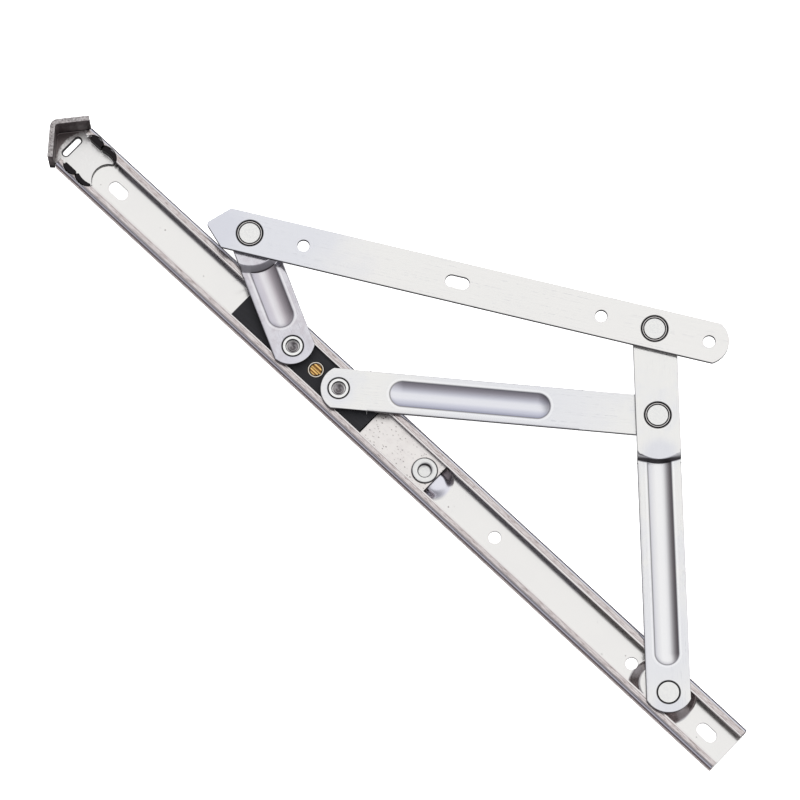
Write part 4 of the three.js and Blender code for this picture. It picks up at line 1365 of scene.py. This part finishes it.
@dataclass
class Arms(SubAssembly):
    """The long arm, the link arm, the short arm and the sash bar."""

    long_width: float = 17.3
    link_width: float = 16.3
    short_width: float = 16.8
    sash_width: float = 16.6
    long_reach: float = 8.0
    link_reach: float = 7.2
    short_reach: float = 7.3
    end_bow: float = 1.3
    bush_seat: float = 5.2
    head_seat: float = 4.42
    hollow_seat: float = 4.18
    edge: float = 0.34
    edge_land: float = 1.35
    edge_drop: float = 0.14
    sash_hole: float = 2.4
    sash_tip: float = 18.0
    sash_shoulder: float = 7.6
    sash_tip_radius: float = 1.6
    first_hole: float = 22.0
    middle_slot: float = 84.8
    hole_before: float = 21.7
    hole_past: float = 22.1
    sash_tail: float = 7.9
    groove_long: Groove = field(default_factory=lambda: Groove(10.8, 99.0, 9.4))
    groove_short: Groove = field(default_factory=lambda: Groove(8.5, 42.0, 10.3))

    def blank(self, start: float, end: float, width: float, bottom: float, top: float) -> bpy.types.Object:
        """A strip with bowed ends, cut from a block by a long round-ended form."""
        bench = self.bench
        radius = width / 2 + self.end_bow
        strip = bench.block((start - PAST, -width / 2, bottom), (end + PAST, width / 2, top))
        rings = [Ring(start + radius, radius, bottom - PAST), Ring(start + radius, radius, top + PAST)]
        ends = bench.stacked(rings, stretch=end - start - 2 * radius, steps=128)
        return bench.combine(strip, Joining.KEEP, ends)

    def relief(self, start: float, end: float, width: float, top: float, side: int) -> bpy.types.Object:
        """A thin wedge that drops the strip's edge a little below its face."""
        bench = self.bench
        inner, outer = width / 2 - self.edge_land, width / 2 + PAST
        lo, hi = sorted((side * inner, side * outer))
        wedge = bench.block((start, lo, top), (end, hi, top + 1.0))
        bench.edit(wedge)
        bench.choose(wedge, Part.POINTS, lambda v: v.co.z < top + 0.5 and abs(v.co.y) > width / 2)
        drop = self.edge_drop * (outer - inner) / self.edge_land
        bpy.ops.transform.translate(value=(0, 0, -drop))
        bench.close()
        return wedge

    def groove(self, piece: bpy.types.Object, groove: Groove, top: float, limit: bpy.types.Object | None = None
               ) -> bpy.types.Object:
        """Presses a groove into a strip: its bulge below, then its hollow above.

        Args:
            piece: The strip.
            groove: The groove.
            top: The height of the strip's face.
            limit: A form that the groove stops at, which is used up.

        Returns:
            The strip.
        """
        bench = self.bench
        hollow = bench.trough(groove.start, groove.end, groove.width, groove.depth, top)
        bulge = bench.trough(groove.start, groove.end, groove.width, groove.depth, top, groove.wall)
        middle = top - LEVELS.arm_sheet / 2
        keep_end = groove.end if limit is None else groove.end - groove.width / 2 - 2.2
        below = bench.block((groove.start - 4, -20, top - 6), (keep_end + (4 if limit is None else 0), 20, middle))
        bench.combine(bulge, Joining.KEEP, below)
        bench.combine(piece, Joining.ADD, bulge)
        if limit is not None:
            bench.combine(hollow, Joining.CUT, limit)
        return bench.combine(piece, Joining.CUT, hollow)

    def step(self, foot: Ring, crest: Ring, far: float, drop: float = 0.0, skirt: float = 3.0) -> bpy.types.Object:
        """The form of a joggle: all that lies beyond its slope, run down and up past the strip."""
        rings = [
            Ring(foot.x, foot.radius, foot.z - drop - skirt),
            Ring(foot.x, foot.radius, foot.z - drop),
            Ring(crest.x, crest.radius, crest.z - drop),
        ]
        if not drop:
            rings.append(Ring(crest.x, crest.radius, crest.z + PAST))
        return self.bench.stacked(rings, stretch=far, steps=192)

    def joggled(self, length: float, width: float, reach: float, groove: Groove, foot: Ring, crest: Ring
                ) -> bpy.types.Object:
        """A strip of the lowest layer whose far end steps up a layer over a curved joggle.

        Args:
            length: The distance between its pivots.
            width: Its width.
            reach: How far its ends run past the pivots.
            groove: Its groove, which runs into the joggle.
            foot: The foot of the slope.
            crest: The crest of the slope.

        Returns:
            The strip.
        """
        bench = self.bench
        low, high = LEVELS.lower, LEVELS.middle + LEVELS.arm_sheet
        face = low + LEVELS.arm_sheet
        far = length
        piece = self.blank(-reach, length + reach, width, low, high)
        over = bench.block((-reach - PAST, -width, face), (crest.x + PAST, width, high + PAST))
        bench.combine(over, Joining.CUT, self.step(foot, crest, far))
        bench.combine(piece, Joining.CUT, over)
        for side in (-1, 1):
            bench.combine(piece, Joining.CUT, self.relief(-reach - PAST, foot.x - foot.radius, width, face, side))
        self.groove(piece, groove, face, self.step(foot, crest, far))
        under = self.step(foot, crest, far, drop=LEVELS.arm_sheet)
        return bench.combine(piece, Joining.CUT, under)

    def seat(self, x: float, layer: float, radius: float, bore: float = 2.65) -> list[bpy.types.Object]:
        """The cutters for a bore and the sunk seat of a head in the face of a strip."""
        top = layer + LEVELS.arm_sheet
        floor = top - LEVELS.head - LEVELS.sink - 0.15 if radius < self.bush_seat else layer + 0.15
        return [
            self.bench.disc(x, bore, layer - PAST, top + PAST),
            self.bench.disc(x, radius, floor, top + PAST),
        ]

    def make_long(self, length: float, link: float) -> bpy.types.Object:
        """The long arm, from the fixed pivot to the sash pivot."""
        face = LEVELS.lower + LEVELS.arm_sheet
        foot = Ring(121.7, 30.0, face)
        crest = Ring(104.1, 11.5, LEVELS.middle + LEVELS.arm_sheet)
        piece = self.joggled(length, self.long_width, self.long_reach, self.groove_long, foot, crest)
        cutters = self.seat(0, LEVELS.lower, self.head_seat)
        cutters += self.seat(link, LEVELS.middle, self.bush_seat)
        cutters.append(self.bench.disc(length, 2.65, LEVELS.middle - PAST, LEVELS.upper))
        cutters.append(self.bench.disc(length, 4.4, LEVELS.middle - PAST, LEVELS.middle + 0.9))
        self.bench.combine(piece, Joining.CUT, *cutters)
        return self.bench.break_edges(piece, self.edge)

    def make_short(self, length: float) -> bpy.types.Object:
        """The short arm, from the slider to the pivot near the sash bar's point."""
        face = LEVELS.lower + LEVELS.arm_sheet
        foot = Ring(length, 15.0, face)
        crest = Ring(length, 12.7, LEVELS.middle + LEVELS.arm_sheet)
        piece = self.joggled(length, self.short_width, self.short_reach, self.groove_short, foot, crest)
        cutters = self.seat(0, LEVELS.lower, self.hollow_seat)
        cutters.append(self.bench.disc(length, 4.1, LEVELS.middle - PAST, LEVELS.upper))
        self.bench.combine(piece, Joining.CUT, *cutters)
        return self.bench.break_edges(piece, self.edge)

    def make_link(self, length: float) -> bpy.types.Object:
        """The link arm, from the long arm to the slider."""
        bench = self.bench
        bottom, face = LEVELS.lower, LEVELS.lower + LEVELS.arm_sheet
        groove = Groove(length - 83.9, length - 20.3, 10.3)
        piece = self.blank(-self.link_reach, length + self.link_reach, self.link_width, bottom, face)
        for side in (-1, 1):
            wedge = self.relief(groove.start - 12, length - 12, self.link_width, face, side)
            bench.combine(piece, Joining.CUT, wedge)
        self.groove(piece, groove, face)
        cutters = self.seat(length, LEVELS.lower, self.hollow_seat)
        cutters.append(bench.disc(0, 2.65, bottom - PAST, face + PAST))
        cutters.append(bench.disc(0, 4.4, bottom - PAST, bottom + 0.9))
        bench.combine(piece, Joining.CUT, *cutters)
        return bench.break_edges(piece, self.edge)

    def make_sash(self, length: float) -> bpy.types.Object:
        """The sash bar: a bowed tail, a pointed end, screw holes and a slot."""
        bench, half = self.bench, self.sash_width / 2
        bottom, top = LEVELS.upper, LEVELS.upper + LEVELS.arm_sheet
        tail = -self.hole_past - self.sash_tail
        tip = length + self.sash_tip
        piece = self.blank(tail, tip + 30, self.sash_width, bottom, top)
        run = self.sash_tip - self.sash_shoulder
        bench.edit(piece, Part.FACES)
        for side in (-1, 1):
            bpy.ops.mesh.select_all(action="SELECT")
            bpy.ops.mesh.bisect(
                plane_co=(tip, 0, 0), plane_no=(half, side * run, 0), use_fill=True, clear_outer=True
            )
        bench.close()
        at_tip = lambda e: all(abs(v.co.y) < 0.01 and v.co.x > tip - 1 for v in e.verts)
        bench.round_edges(piece, at_tip, self.sash_tip_radius, 8)
        cutters = [bench.disc(x, self.sash_hole, bottom - PAST, top + PAST)
                   for x in (length - self.first_hole, self.hole_before, -self.hole_past)]
        slot_x = length - self.middle_slot
        cutters.append(bench.oblong(slot_x - 4.85, slot_x + 4.85, 4.9, bottom - PAST, top + PAST))
        cutters += self.seat(0, LEVELS.upper, self.bush_seat)
        cutters += self.seat(length, LEVELS.upper, self.bush_seat, 2.15)
        bench.combine(piece, Joining.CUT, *cutters)
        return bench.break_edges(piece, self.edge)

    def build(self) -> None:
        """Makes and dresses the four arms."""
        blue, cool, warm = (0.66, 0.67, 0.73), (0.74, 0.745, 0.775), (0.80, 0.795, 0.78)
        long_place = Place(FIXED.x, FIXED.y, heading(FIXED, SASH))
        length, link = (SASH - FIXED).xy.length, (LINK - FIXED).xy.length
        finish = Steel(
            "long_arm_finish", warm, cool, cloud_size=18.0, cloud_share=0.7,
            blooms=(Bloom(94, 0, 9, blue, 0.7), Bloom(-6, 0, 9, blue, 0.6), Bloom(20, 4, 26, cool, 0.9)),
            # Painted shade rings round the sunk seats, and painted light and shade in the groove.
            shaded_crevices=((0, self.head_seat), (link, self.bush_seat)),
            hollow=PaintedGrooveShading(10.8, 106.0, 9.4, (0.80, 0.795, 0.80), (0.20, 0.175, 0.18), 0.25, 0.95, near_strength=0.3),
        )
        self.put(self.make_long(length, link), "long_arm_pressing", "long_arm", long_place, finish, Slot.ARM)
        link_place = Place(LINK.x, LINK.y, heading(LINK, SLIDE))
        length = (SLIDE - LINK).xy.length
        finish = Steel(
            "link_arm_finish", warm, cool, cloud_size=20.0, cloud_share=0.6,
            blooms=(Bloom(length, 0, 9, cool, 0.8), Bloom(length - 20, 0, 14, warm, 0.6), Bloom(60, 0, 50, cool, 0.9)),
            # Painted shade rings round the sunk seat, and painted light and shade in the groove.
            shaded_crevices=((length, self.hollow_seat),),
            hollow=PaintedGrooveShading(length - 83.9, length - 20.3, 10.3),
        )
        self.put(self.make_link(length), "link_arm_pressing", "link_arm", link_place, finish, Slot.ARM)
        short_place = Place(SHORT.x, SHORT.y, heading(SHORT, TIP))
        length = (TIP - SHORT).xy.length
        finish = Steel(
            "short_arm_finish", (0.66, 0.65, 0.69), (0.56, 0.53, 0.57), cloud_size=5.0, cloud_share=0.8, grain=0.8,
            blooms=(Bloom(-4, 0, 12, (0.66, 0.66, 0.72), 0.6),),
            # Painted shade ring round the sunk seat, and painted light and shade in the groove.
            shaded_crevices=((0, self.hollow_seat),),
            hollow=PaintedGrooveShading(8.5, 50.0, 10.3, (0.60, 0.57, 0.62), (0.46, 0.42, 0.44), -0.3, 0.5, 0.8, near_strength=0.25),
        )
        self.put(self.make_short(length), "short_arm_pressing", "short_arm", short_place, finish, Slot.ARM)
        sash_place = Place(SASH.x, SASH.y, heading(SASH, TIP))
        length = (TIP - SASH).xy.length
        finish = Steel(
            "sash_bar_finish", (0.81, 0.80, 0.785), warm, cloud_size=30.0, cloud_share=0.6, grain=0.3,
            blooms=(Bloom(length + 4, 0, 60, (0.70, 0.71, 0.76), 0.85), Bloom(length + 14, 0, 16, (0.62, 0.63, 0.70), 0.6)),
            # Painted shade rings round both sunk bush seats.
            shaded_crevices=((0, self.bush_seat), (length, self.bush_seat)),
        )
        self.put(self.make_sash(length), "sash_bar_strip", "sash_bar", sash_place, finish, Slot.BAR)


# ---- Rivets, bushes and washers ---------------------------------------------------------


@dataclass
class Pivots(SubAssembly):
    """The rivets at the arms' pivots, with their bushes, washers and collars."""

    head: float = 4.3
    bush_inner: float = 4.42
    bush_outer: float = 5.12
    washer_outer: float = 6.0

    def solid_rivet(self, node: str, shank: float, head: float) -> bpy.types.Object:
        """A solid rivet between the heights of its frame node, with a flush, slightly crowned head."""
        low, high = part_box(node)
        foot, top = low.z / MM, high.z / MM
        tail = (high.x - low.x) / (2 * MM)
        under = top - LEVELS.head
        if foot > LEVELS.lower + 3.0 or tail < 4.5:
            tail = max(4.2, tail if node == "tip_pivot_rivet" else 4.2)
        piece = self.bench.turned(
            [
                (0, foot), (tail - 0.3, foot), (tail, foot + 0.25), (tail, foot + LEVELS.tail),
                (shank, foot + LEVELS.tail), (shank, under), (head, under), (head, top - 0.3),
                (head - 0.2, top - 0.03), (head - 0.24, top), (0, top),
            ]
        )
        return self.bench.break_edges(piece, 0.0, 20.0)

    def hollow_rivet(self, node: str) -> bpy.types.Object:
        """A semi-tubular rivet: a rolled head round a dark step and a conical pit."""
        low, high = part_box(node)
        foot, top = low.z / MM, high.z / MM
        under = top - LEVELS.head
        piece = self.bench.turned(
            [
                (0, foot), (4.0, foot), (4.2, foot + 0.2), (4.2, foot + LEVELS.tail), (2.5, foot + LEVELS.tail),
                (2.5, under), (4.1, under), (4.1, top - 0.3), (3.9, top - 0.03), (3.86, top),
                (2.95, top), (2.85, top - 0.03), (2.6, top - 0.4), (2.55, top - 1.5), (2.0, top - 1.5),
                (1.95, top - 0.75), (1.8, top - 0.66), (1.6, top - 0.7), (0.25, top - 1.75), (0, top - 1.8),
            ]
        )
        return self.bench.break_edges(piece, 0.0, 40.0)

    def make_bush(self, node: str) -> bpy.types.Object:
        """The hardened bush round a rivet's head, with deep outer and small inner chamfers."""
        low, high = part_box(node)
        foot, top, drop = low.z / MM, high.z / MM, 0.38
        inner, outer = self.bush_inner, self.bush_outer
        return self.bench.turned(
            [
                (inner, foot), (outer, foot), (outer, top - drop), (outer - 0.28, top - 0.03),
                (outer - 0.32, top), (inner + 0.16, top), (inner + 0.12, top - 0.03), (inner, top - 0.2),
                (inner, foot),
            ]
        )

    def ring_for(self, node: str, inner: float, outer: float) -> bpy.types.Object:
        """A ring between the heights of its frame node."""
        low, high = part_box(node)
        return self.bench.ring(inner, outer, low.z / MM, high.z / MM)

    def build(self) -> None:
        """Makes and dresses every rivet, bush, washer and collar."""
        spots = {"fixed": FIXED, "link": LINK, "sash": SASH, "tip": TIP}
        for name, spot in spots.items():
            place = Place(spot.x, spot.y)
            shank = 2.0 if name == "tip" else 2.5
            node = f"{name}_pivot_rivet"
            rivet = self.solid_rivet(node, shank, self.head)
            # Painted shade at the head's edge and on its upright faces.
            finish = Rimmed(f"{name}_rivet_finish", radius=self.head)
            self.put(rivet, f"{node}_turning", node, place, finish, Slot.RIVET)
            node = f"{name}_pivot_washer"
            washer = self.ring_for(node, shank + 0.15, self.washer_outer)
            nylon = Plastic(f"{name}_washer_finish", (0.62, 0.59, 0.54), (0.5, 0.47, 0.42), 0.55)
            self.put(washer, f"{node}_ring", node, place, nylon, Slot.WASHER)
            if name == "fixed":
                continue
            node = f"{name}_pivot_bush"
            bush = self.bench.break_edges(self.make_bush(node), 0.0, 20.0)
            # Painted shade on the bush's upright and chamfered faces.
            finish = Rimmed(f"{name}_bush_finish", radius=5.6, colour=(0.70, 0.67, 0.66))
            self.put(bush, f"{node}_ring", node, place, finish, Slot.RIVET)
        for name, spot in {"short_arm": SHORT, "link_arm": SLIDE}.items():
            place = Place(spot.x, spot.y)
            node = f"{name}_rivet"
            # Painted shade at the head's edge, in its pit and on its upright faces.
            finish = Rimmed(
                f"{name}_rivet_finish", colour=(0.86, 0.86, 0.85), radius=4.25, rim_width=0.15, pit_radius=2.5,
                roughness=0.2,
            )
            self.put(self.hollow_rivet(node), f"{node}_turning", node, place, finish, Slot.RIVET)
            node = f"{name}_collar"
            collar = self.ring_for(node, 2.65, 4.6)
            # Painted shade on the collar's upright faces.
            self.put(collar, f"{node}_ring", node, place, Rimmed(f"{name}_collar_finish", radius=5.5), Slot.DARK)


# ---- Slider -----------------------------------------------------------------------------


@dataclass
class Slider(SubAssembly):
    """The shoe that runs in the track, its core plate, friction pad, insert and brass screw."""

    chamfer: float = 0.6
    bore: float = 2.65
    insert_bore: float = 3.35
    slot_width: float = 0.9
    slot_depth: float = 1.2

    def make_shoe(self) -> bpy.types.Object:
        """The nylon shoe with its chamfers, its core room and its bores."""
        bench = self.bench
        low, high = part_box("slider_shoe")
        piece = bench.block(low / MM, high / MM)
        along = lambda e: abs(e.verts[0].co.x - e.verts[1].co.x) > 1.0
        bench.round_edges(piece, along, self.chamfer, 4)
        core_low, core_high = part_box("slider_core_plate")
        fit = 0.15
        room = bench.block(
            (core_low.x / MM - fit, core_low.y / MM - fit, -PAST),
            (core_high.x / MM + fit, core_high.y / MM + fit, core_high.z / MM + fit),
        )
        top = high.z / MM + PAST
        cutters = [room] + [bench.disc(spot.x, self.bore, 0, top) for spot in (SHORT, SLIDE)]
        cutters.append(bench.disc(SCREW.x, self.insert_bore, 0, top))
        bench.combine(piece, Joining.CUT, *cutters)
        return bench.break_edges(piece, 0.25)

    def make_core(self) -> bpy.types.Object:
        """The steel plate under the shoe that the arm rivets are clenched to."""
        bench = self.bench
        low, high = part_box("slider_core_plate")
        pad_low, pad_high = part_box("friction_pad")
        fit = 0.15
        piece = bench.block(low / MM, high / MM)
        bench.round_edges(piece, lambda e: abs(e.verts[0].co.z - e.verts[1].co.z) > 1.0, 1.5)
        cutters = [
            bench.block(
                (pad_low.x / MM - fit, pad_low.y / MM - fit, 0), (pad_high.x / MM + fit, pad_high.y / MM + fit, 9)
            )
        ]
        for spot in (SHORT, SLIDE):
            cutters.append(bench.disc(spot.x, self.bore, 0, 9))
            cutters.append(bench.disc(spot.x, 4.35, 0, low.z / MM + 0.85))
        bench.combine(piece, Joining.CUT, *cutters)
        return bench.break_edges(piece, 0.12)

    def make_pad(self) -> bpy.types.Object:
        """The brass pad that the screw presses on the track's floor."""
        low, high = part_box("friction_pad")
        piece = self.bench.block(low / MM, high / MM)
        self.bench.round_edges(piece, lambda e: abs(e.verts[0].co.z - e.verts[1].co.z) > 1.0, 0.8)
        return self.bench.break_edges(piece, 0.15)

    def make_screw(self) -> bpy.types.Object:
        """The slotted friction screw, with its thread under a chamfered head."""
        bench = self.bench
        low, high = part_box("friction_screw")
        foot, top = low.z / MM, high.z / MM
        radius = (high.y - low.y) / (2 * MM)
        profile = [(0, foot), (radius - 0.5, foot)]
        turns = 4
        pitch = (top - 0.9 - foot - 0.3) / turns
        for index in range(turns):
            height = foot + 0.3 + index * pitch
            profile += [(radius - 0.4, height), (radius, height + pitch / 2)]
        profile += [(radius - 0.4, top - 0.9), (radius, top - 0.75), (radius, top - 0.3), (radius - 0.3, top), (0, top)]
        piece = bench.turned(profile)
        slot = bench.block((-5, -self.slot_width / 2, top - self.slot_depth), (5, self.slot_width / 2, top + 1))
        bench.combine(piece, Joining.CUT, slot)
        return bench.break_edges(piece, 0.08)

    def build(self) -> None:
        """Makes and dresses the slider's pieces."""
        black = Plastic("shoe_nylon_finish", (0.0115, 0.0115, 0.0135), (0.018, 0.018, 0.021), 0.48)
        self.put(self.make_shoe(), "shoe_moulding", "slider_shoe", Place(), black, Slot.NYLON)
        dark = Steel("core_steel_finish", (0.42, 0.42, 0.44), (0.34, 0.33, 0.34), roughness=0.4)
        self.put(self.make_core(), "core_plate_blank", "slider_core_plate", Place(), dark, Slot.DARK)
        self.put(self.make_pad(), "friction_pad_block", "friction_pad", Place(), Brass("pad_brass_finish"), Slot.BRASS)
        spot = Place(SCREW.x, SCREW.y)
        self.put(self.make_screw(), "friction_screw_turning", "friction_screw", spot, Brass("screw_brass_finish"),
                 Slot.BRASS)
        low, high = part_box("screw_insert")
        insert = self.bench.ring(2.65, 3.2, low.z / MM, high.z / MM)
        # Painted shade on the insert's upright faces.
        finish = Rimmed("insert_finish", colour=(0.62, 0.56, 0.48), radius=4.0)
        self.put(insert, "screw_insert_ring", "screw_insert", spot, finish, Slot.DARK)


# ---- Studio -----------------------------------------------------------------------------


@dataclass
class Studio:
    """The pale floor, the soft light and the camera."""

    aim: tuple[float, float] = (-0.01222, 0.01504)
    right: tuple[float, float] = (0.7260, 0.6877)
    distance: float = 2.0
    tilt: float = 14.0
    lens: float = 226.8
    floor_half: float = 6.0

    def make_floor(self) -> None:
        """A plain pale floor just under the track."""
        bpy.ops.object.select_all(action="DESELECT")
        bpy.ops.mesh.primitive_plane_add(size=2 * self.floor_half, location=(0, 0, -0.0004))
        floor = bpy.context.object
        floor.name = "floor"
        shader = Shader("floor_paint")
        shader.surface.inputs["Base Color"].default_value = (0.93, 0.93, 0.93, 1)
        shader.surface.inputs["Roughness"].default_value = 1.0
        shader.surface.inputs["Specular IOR Level"].default_value = 0.0
        shader.surface.inputs["Emission Color"].default_value = (1.0, 1.0, 1.0, 1)
        shader.surface.inputs["Emission Strength"].default_value = 0.7
        floor.data.materials.append(shader.material)
        floor.visible_glossy = False

    def make_sky(self) -> None:
        """A soft surround: bright overhead and on the +Y side, dark low down and on the -Y side."""
        world = bpy.data.worlds.new("studio")
        bpy.context.scene.world = world
        world.use_nodes = True
        tree = world.node_tree
        background = tree.nodes["Background"]
        coordinates = tree.nodes.new("ShaderNodeTexCoord")
        dot = tree.nodes.new("ShaderNodeVectorMath")
        dot.operation = "DOT_PRODUCT"
        dot.inputs[1].default_value = (0.0, 0.75, 0.65)
        spread = tree.nodes.new("ShaderNodeMapRange")
        spread.inputs["From Min"].default_value = -0.4
        spread.inputs["From Max"].default_value = 0.8
        ramp = tree.nodes.new("ShaderNodeValToRGB")
        stops = [(0.0, (0.02, 0.018, 0.02)), (0.21, (0.05, 0.045, 0.05)), (0.43, (0.30, 0.29, 0.31)),
                 (0.66, (0.55, 0.55, 0.57)), (0.86, (0.94, 0.94, 0.95)), (0.94, (1.0, 1.0, 1.0))]
        while len(ramp.color_ramp.elements) < len(stops):
            ramp.color_ramp.elements.new(0.5)
        for element, (position, colour) in zip(ramp.color_ramp.elements, stops):
            element.position = position
            element.color = (*colour, 1)
        below = tree.nodes.new("ShaderNodeMapRange")
        below.interpolation_type = "SMOOTHSTEP"
        below.inputs["From Min"].default_value = -0.6
        below.inputs["From Max"].default_value = -0.9
        height = tree.nodes.new("ShaderNodeSeparateXYZ")
        mix = tree.nodes.new("ShaderNodeMix")
        mix.data_type = "RGBA"
        mix.inputs[7].default_value = (0.14, 0.13, 0.128, 1)
        glow = tree.nodes.new("ShaderNodeMapRange")
        glow.interpolation_type = "SMOOTHSTEP"
        glow.inputs["From Min"].default_value = 0.62
        glow.inputs["From Max"].default_value = 0.36
        horizon = tree.nodes.new("ShaderNodeMix")
        horizon.data_type = "RGBA"
        horizon.inputs[7].default_value = (0.66, 0.66, 0.69, 1)
        tree.links.new(coordinates.outputs["Generated"], dot.inputs[0])
        tree.links.new(coordinates.outputs["Generated"], height.inputs[0])
        tree.links.new(height.outputs["Z"], below.inputs["Value"])
        tree.links.new(dot.outputs["Value"], spread.inputs["Value"])
        tree.links.new(spread.outputs[0], ramp.inputs["Fac"])
        tree.links.new(below.outputs[0], mix.inputs[0])
        tree.links.new(height.outputs["Z"], glow.inputs["Value"])
        tree.links.new(glow.outputs[0], horizon.inputs[0])
        tree.links.new(ramp.outputs["Color"], horizon.inputs[6])
        tree.links.new(horizon.outputs[2], mix.inputs[6])
        tree.links.new(mix.outputs[2], background.inputs["Color"])
        background.inputs["Strength"].default_value = 1.06

    def make_lights(self) -> None:
        """A wide overhead lamp that lights the floor and dull surfaces, and isn't seen in the steel."""
        data = bpy.data.lights.new("overhead", "SUN")
        data.energy = 3.2
        data.angle = math.radians(100)
        lamp = bpy.data.objects.new("overhead", data)
        bpy.context.scene.collection.objects.link(lamp)
        lamp.visible_glossy = False

    def make_camera(self) -> None:
        """The camera, almost overhead and tilted towards the track's lower edge."""
        data = bpy.data.cameras.new("camera")
        data.lens = self.lens
        data.sensor_width = 36.0
        data.clip_start, data.clip_end = 0.01, 50.0
        camera = bpy.data.objects.new("camera", data)
        bpy.context.scene.collection.objects.link(camera)
        right = Vector((*self.right, 0)).normalized()
        ahead = Vector((-right.y, right.x, 0))
        tilt = math.radians(self.tilt)
        back = Vector((0, 0, 1)) * math.cos(tilt) - ahead * math.sin(tilt)
        up = back.cross(right)
        spot = Vector((*self.aim, 0)) + back * self.distance
        turn = Matrix((right, up, back)).transposed().to_4x4()
        camera.matrix_world = Matrix.Translation(spot) @ turn
        bpy.context.scene.camera = camera

    def build(self) -> None:
        """Sets up the studio."""
        self.make_floor()
        self.make_sky()
        self.make_lights()
        self.make_camera()
        scene = bpy.context.scene
        scene.view_settings.view_transform = "Standard"
        scene.view_settings.look = "None"
        log.info("studio ready")


def main() -> None:
    """Builds every sub-assembly in order, then the studio."""
    logging.basicConfig(level=logging.INFO, format="%(message)s")
    bench = Bench()
    for assembly in (Track(bench), EndCap(bench), Arms(bench), Pivots(bench), Slider(bench)):
        log.info("building %s", type(assembly).__name__)
        assembly.build()
    Studio().build()


if __name__ == "__main__":
    main()
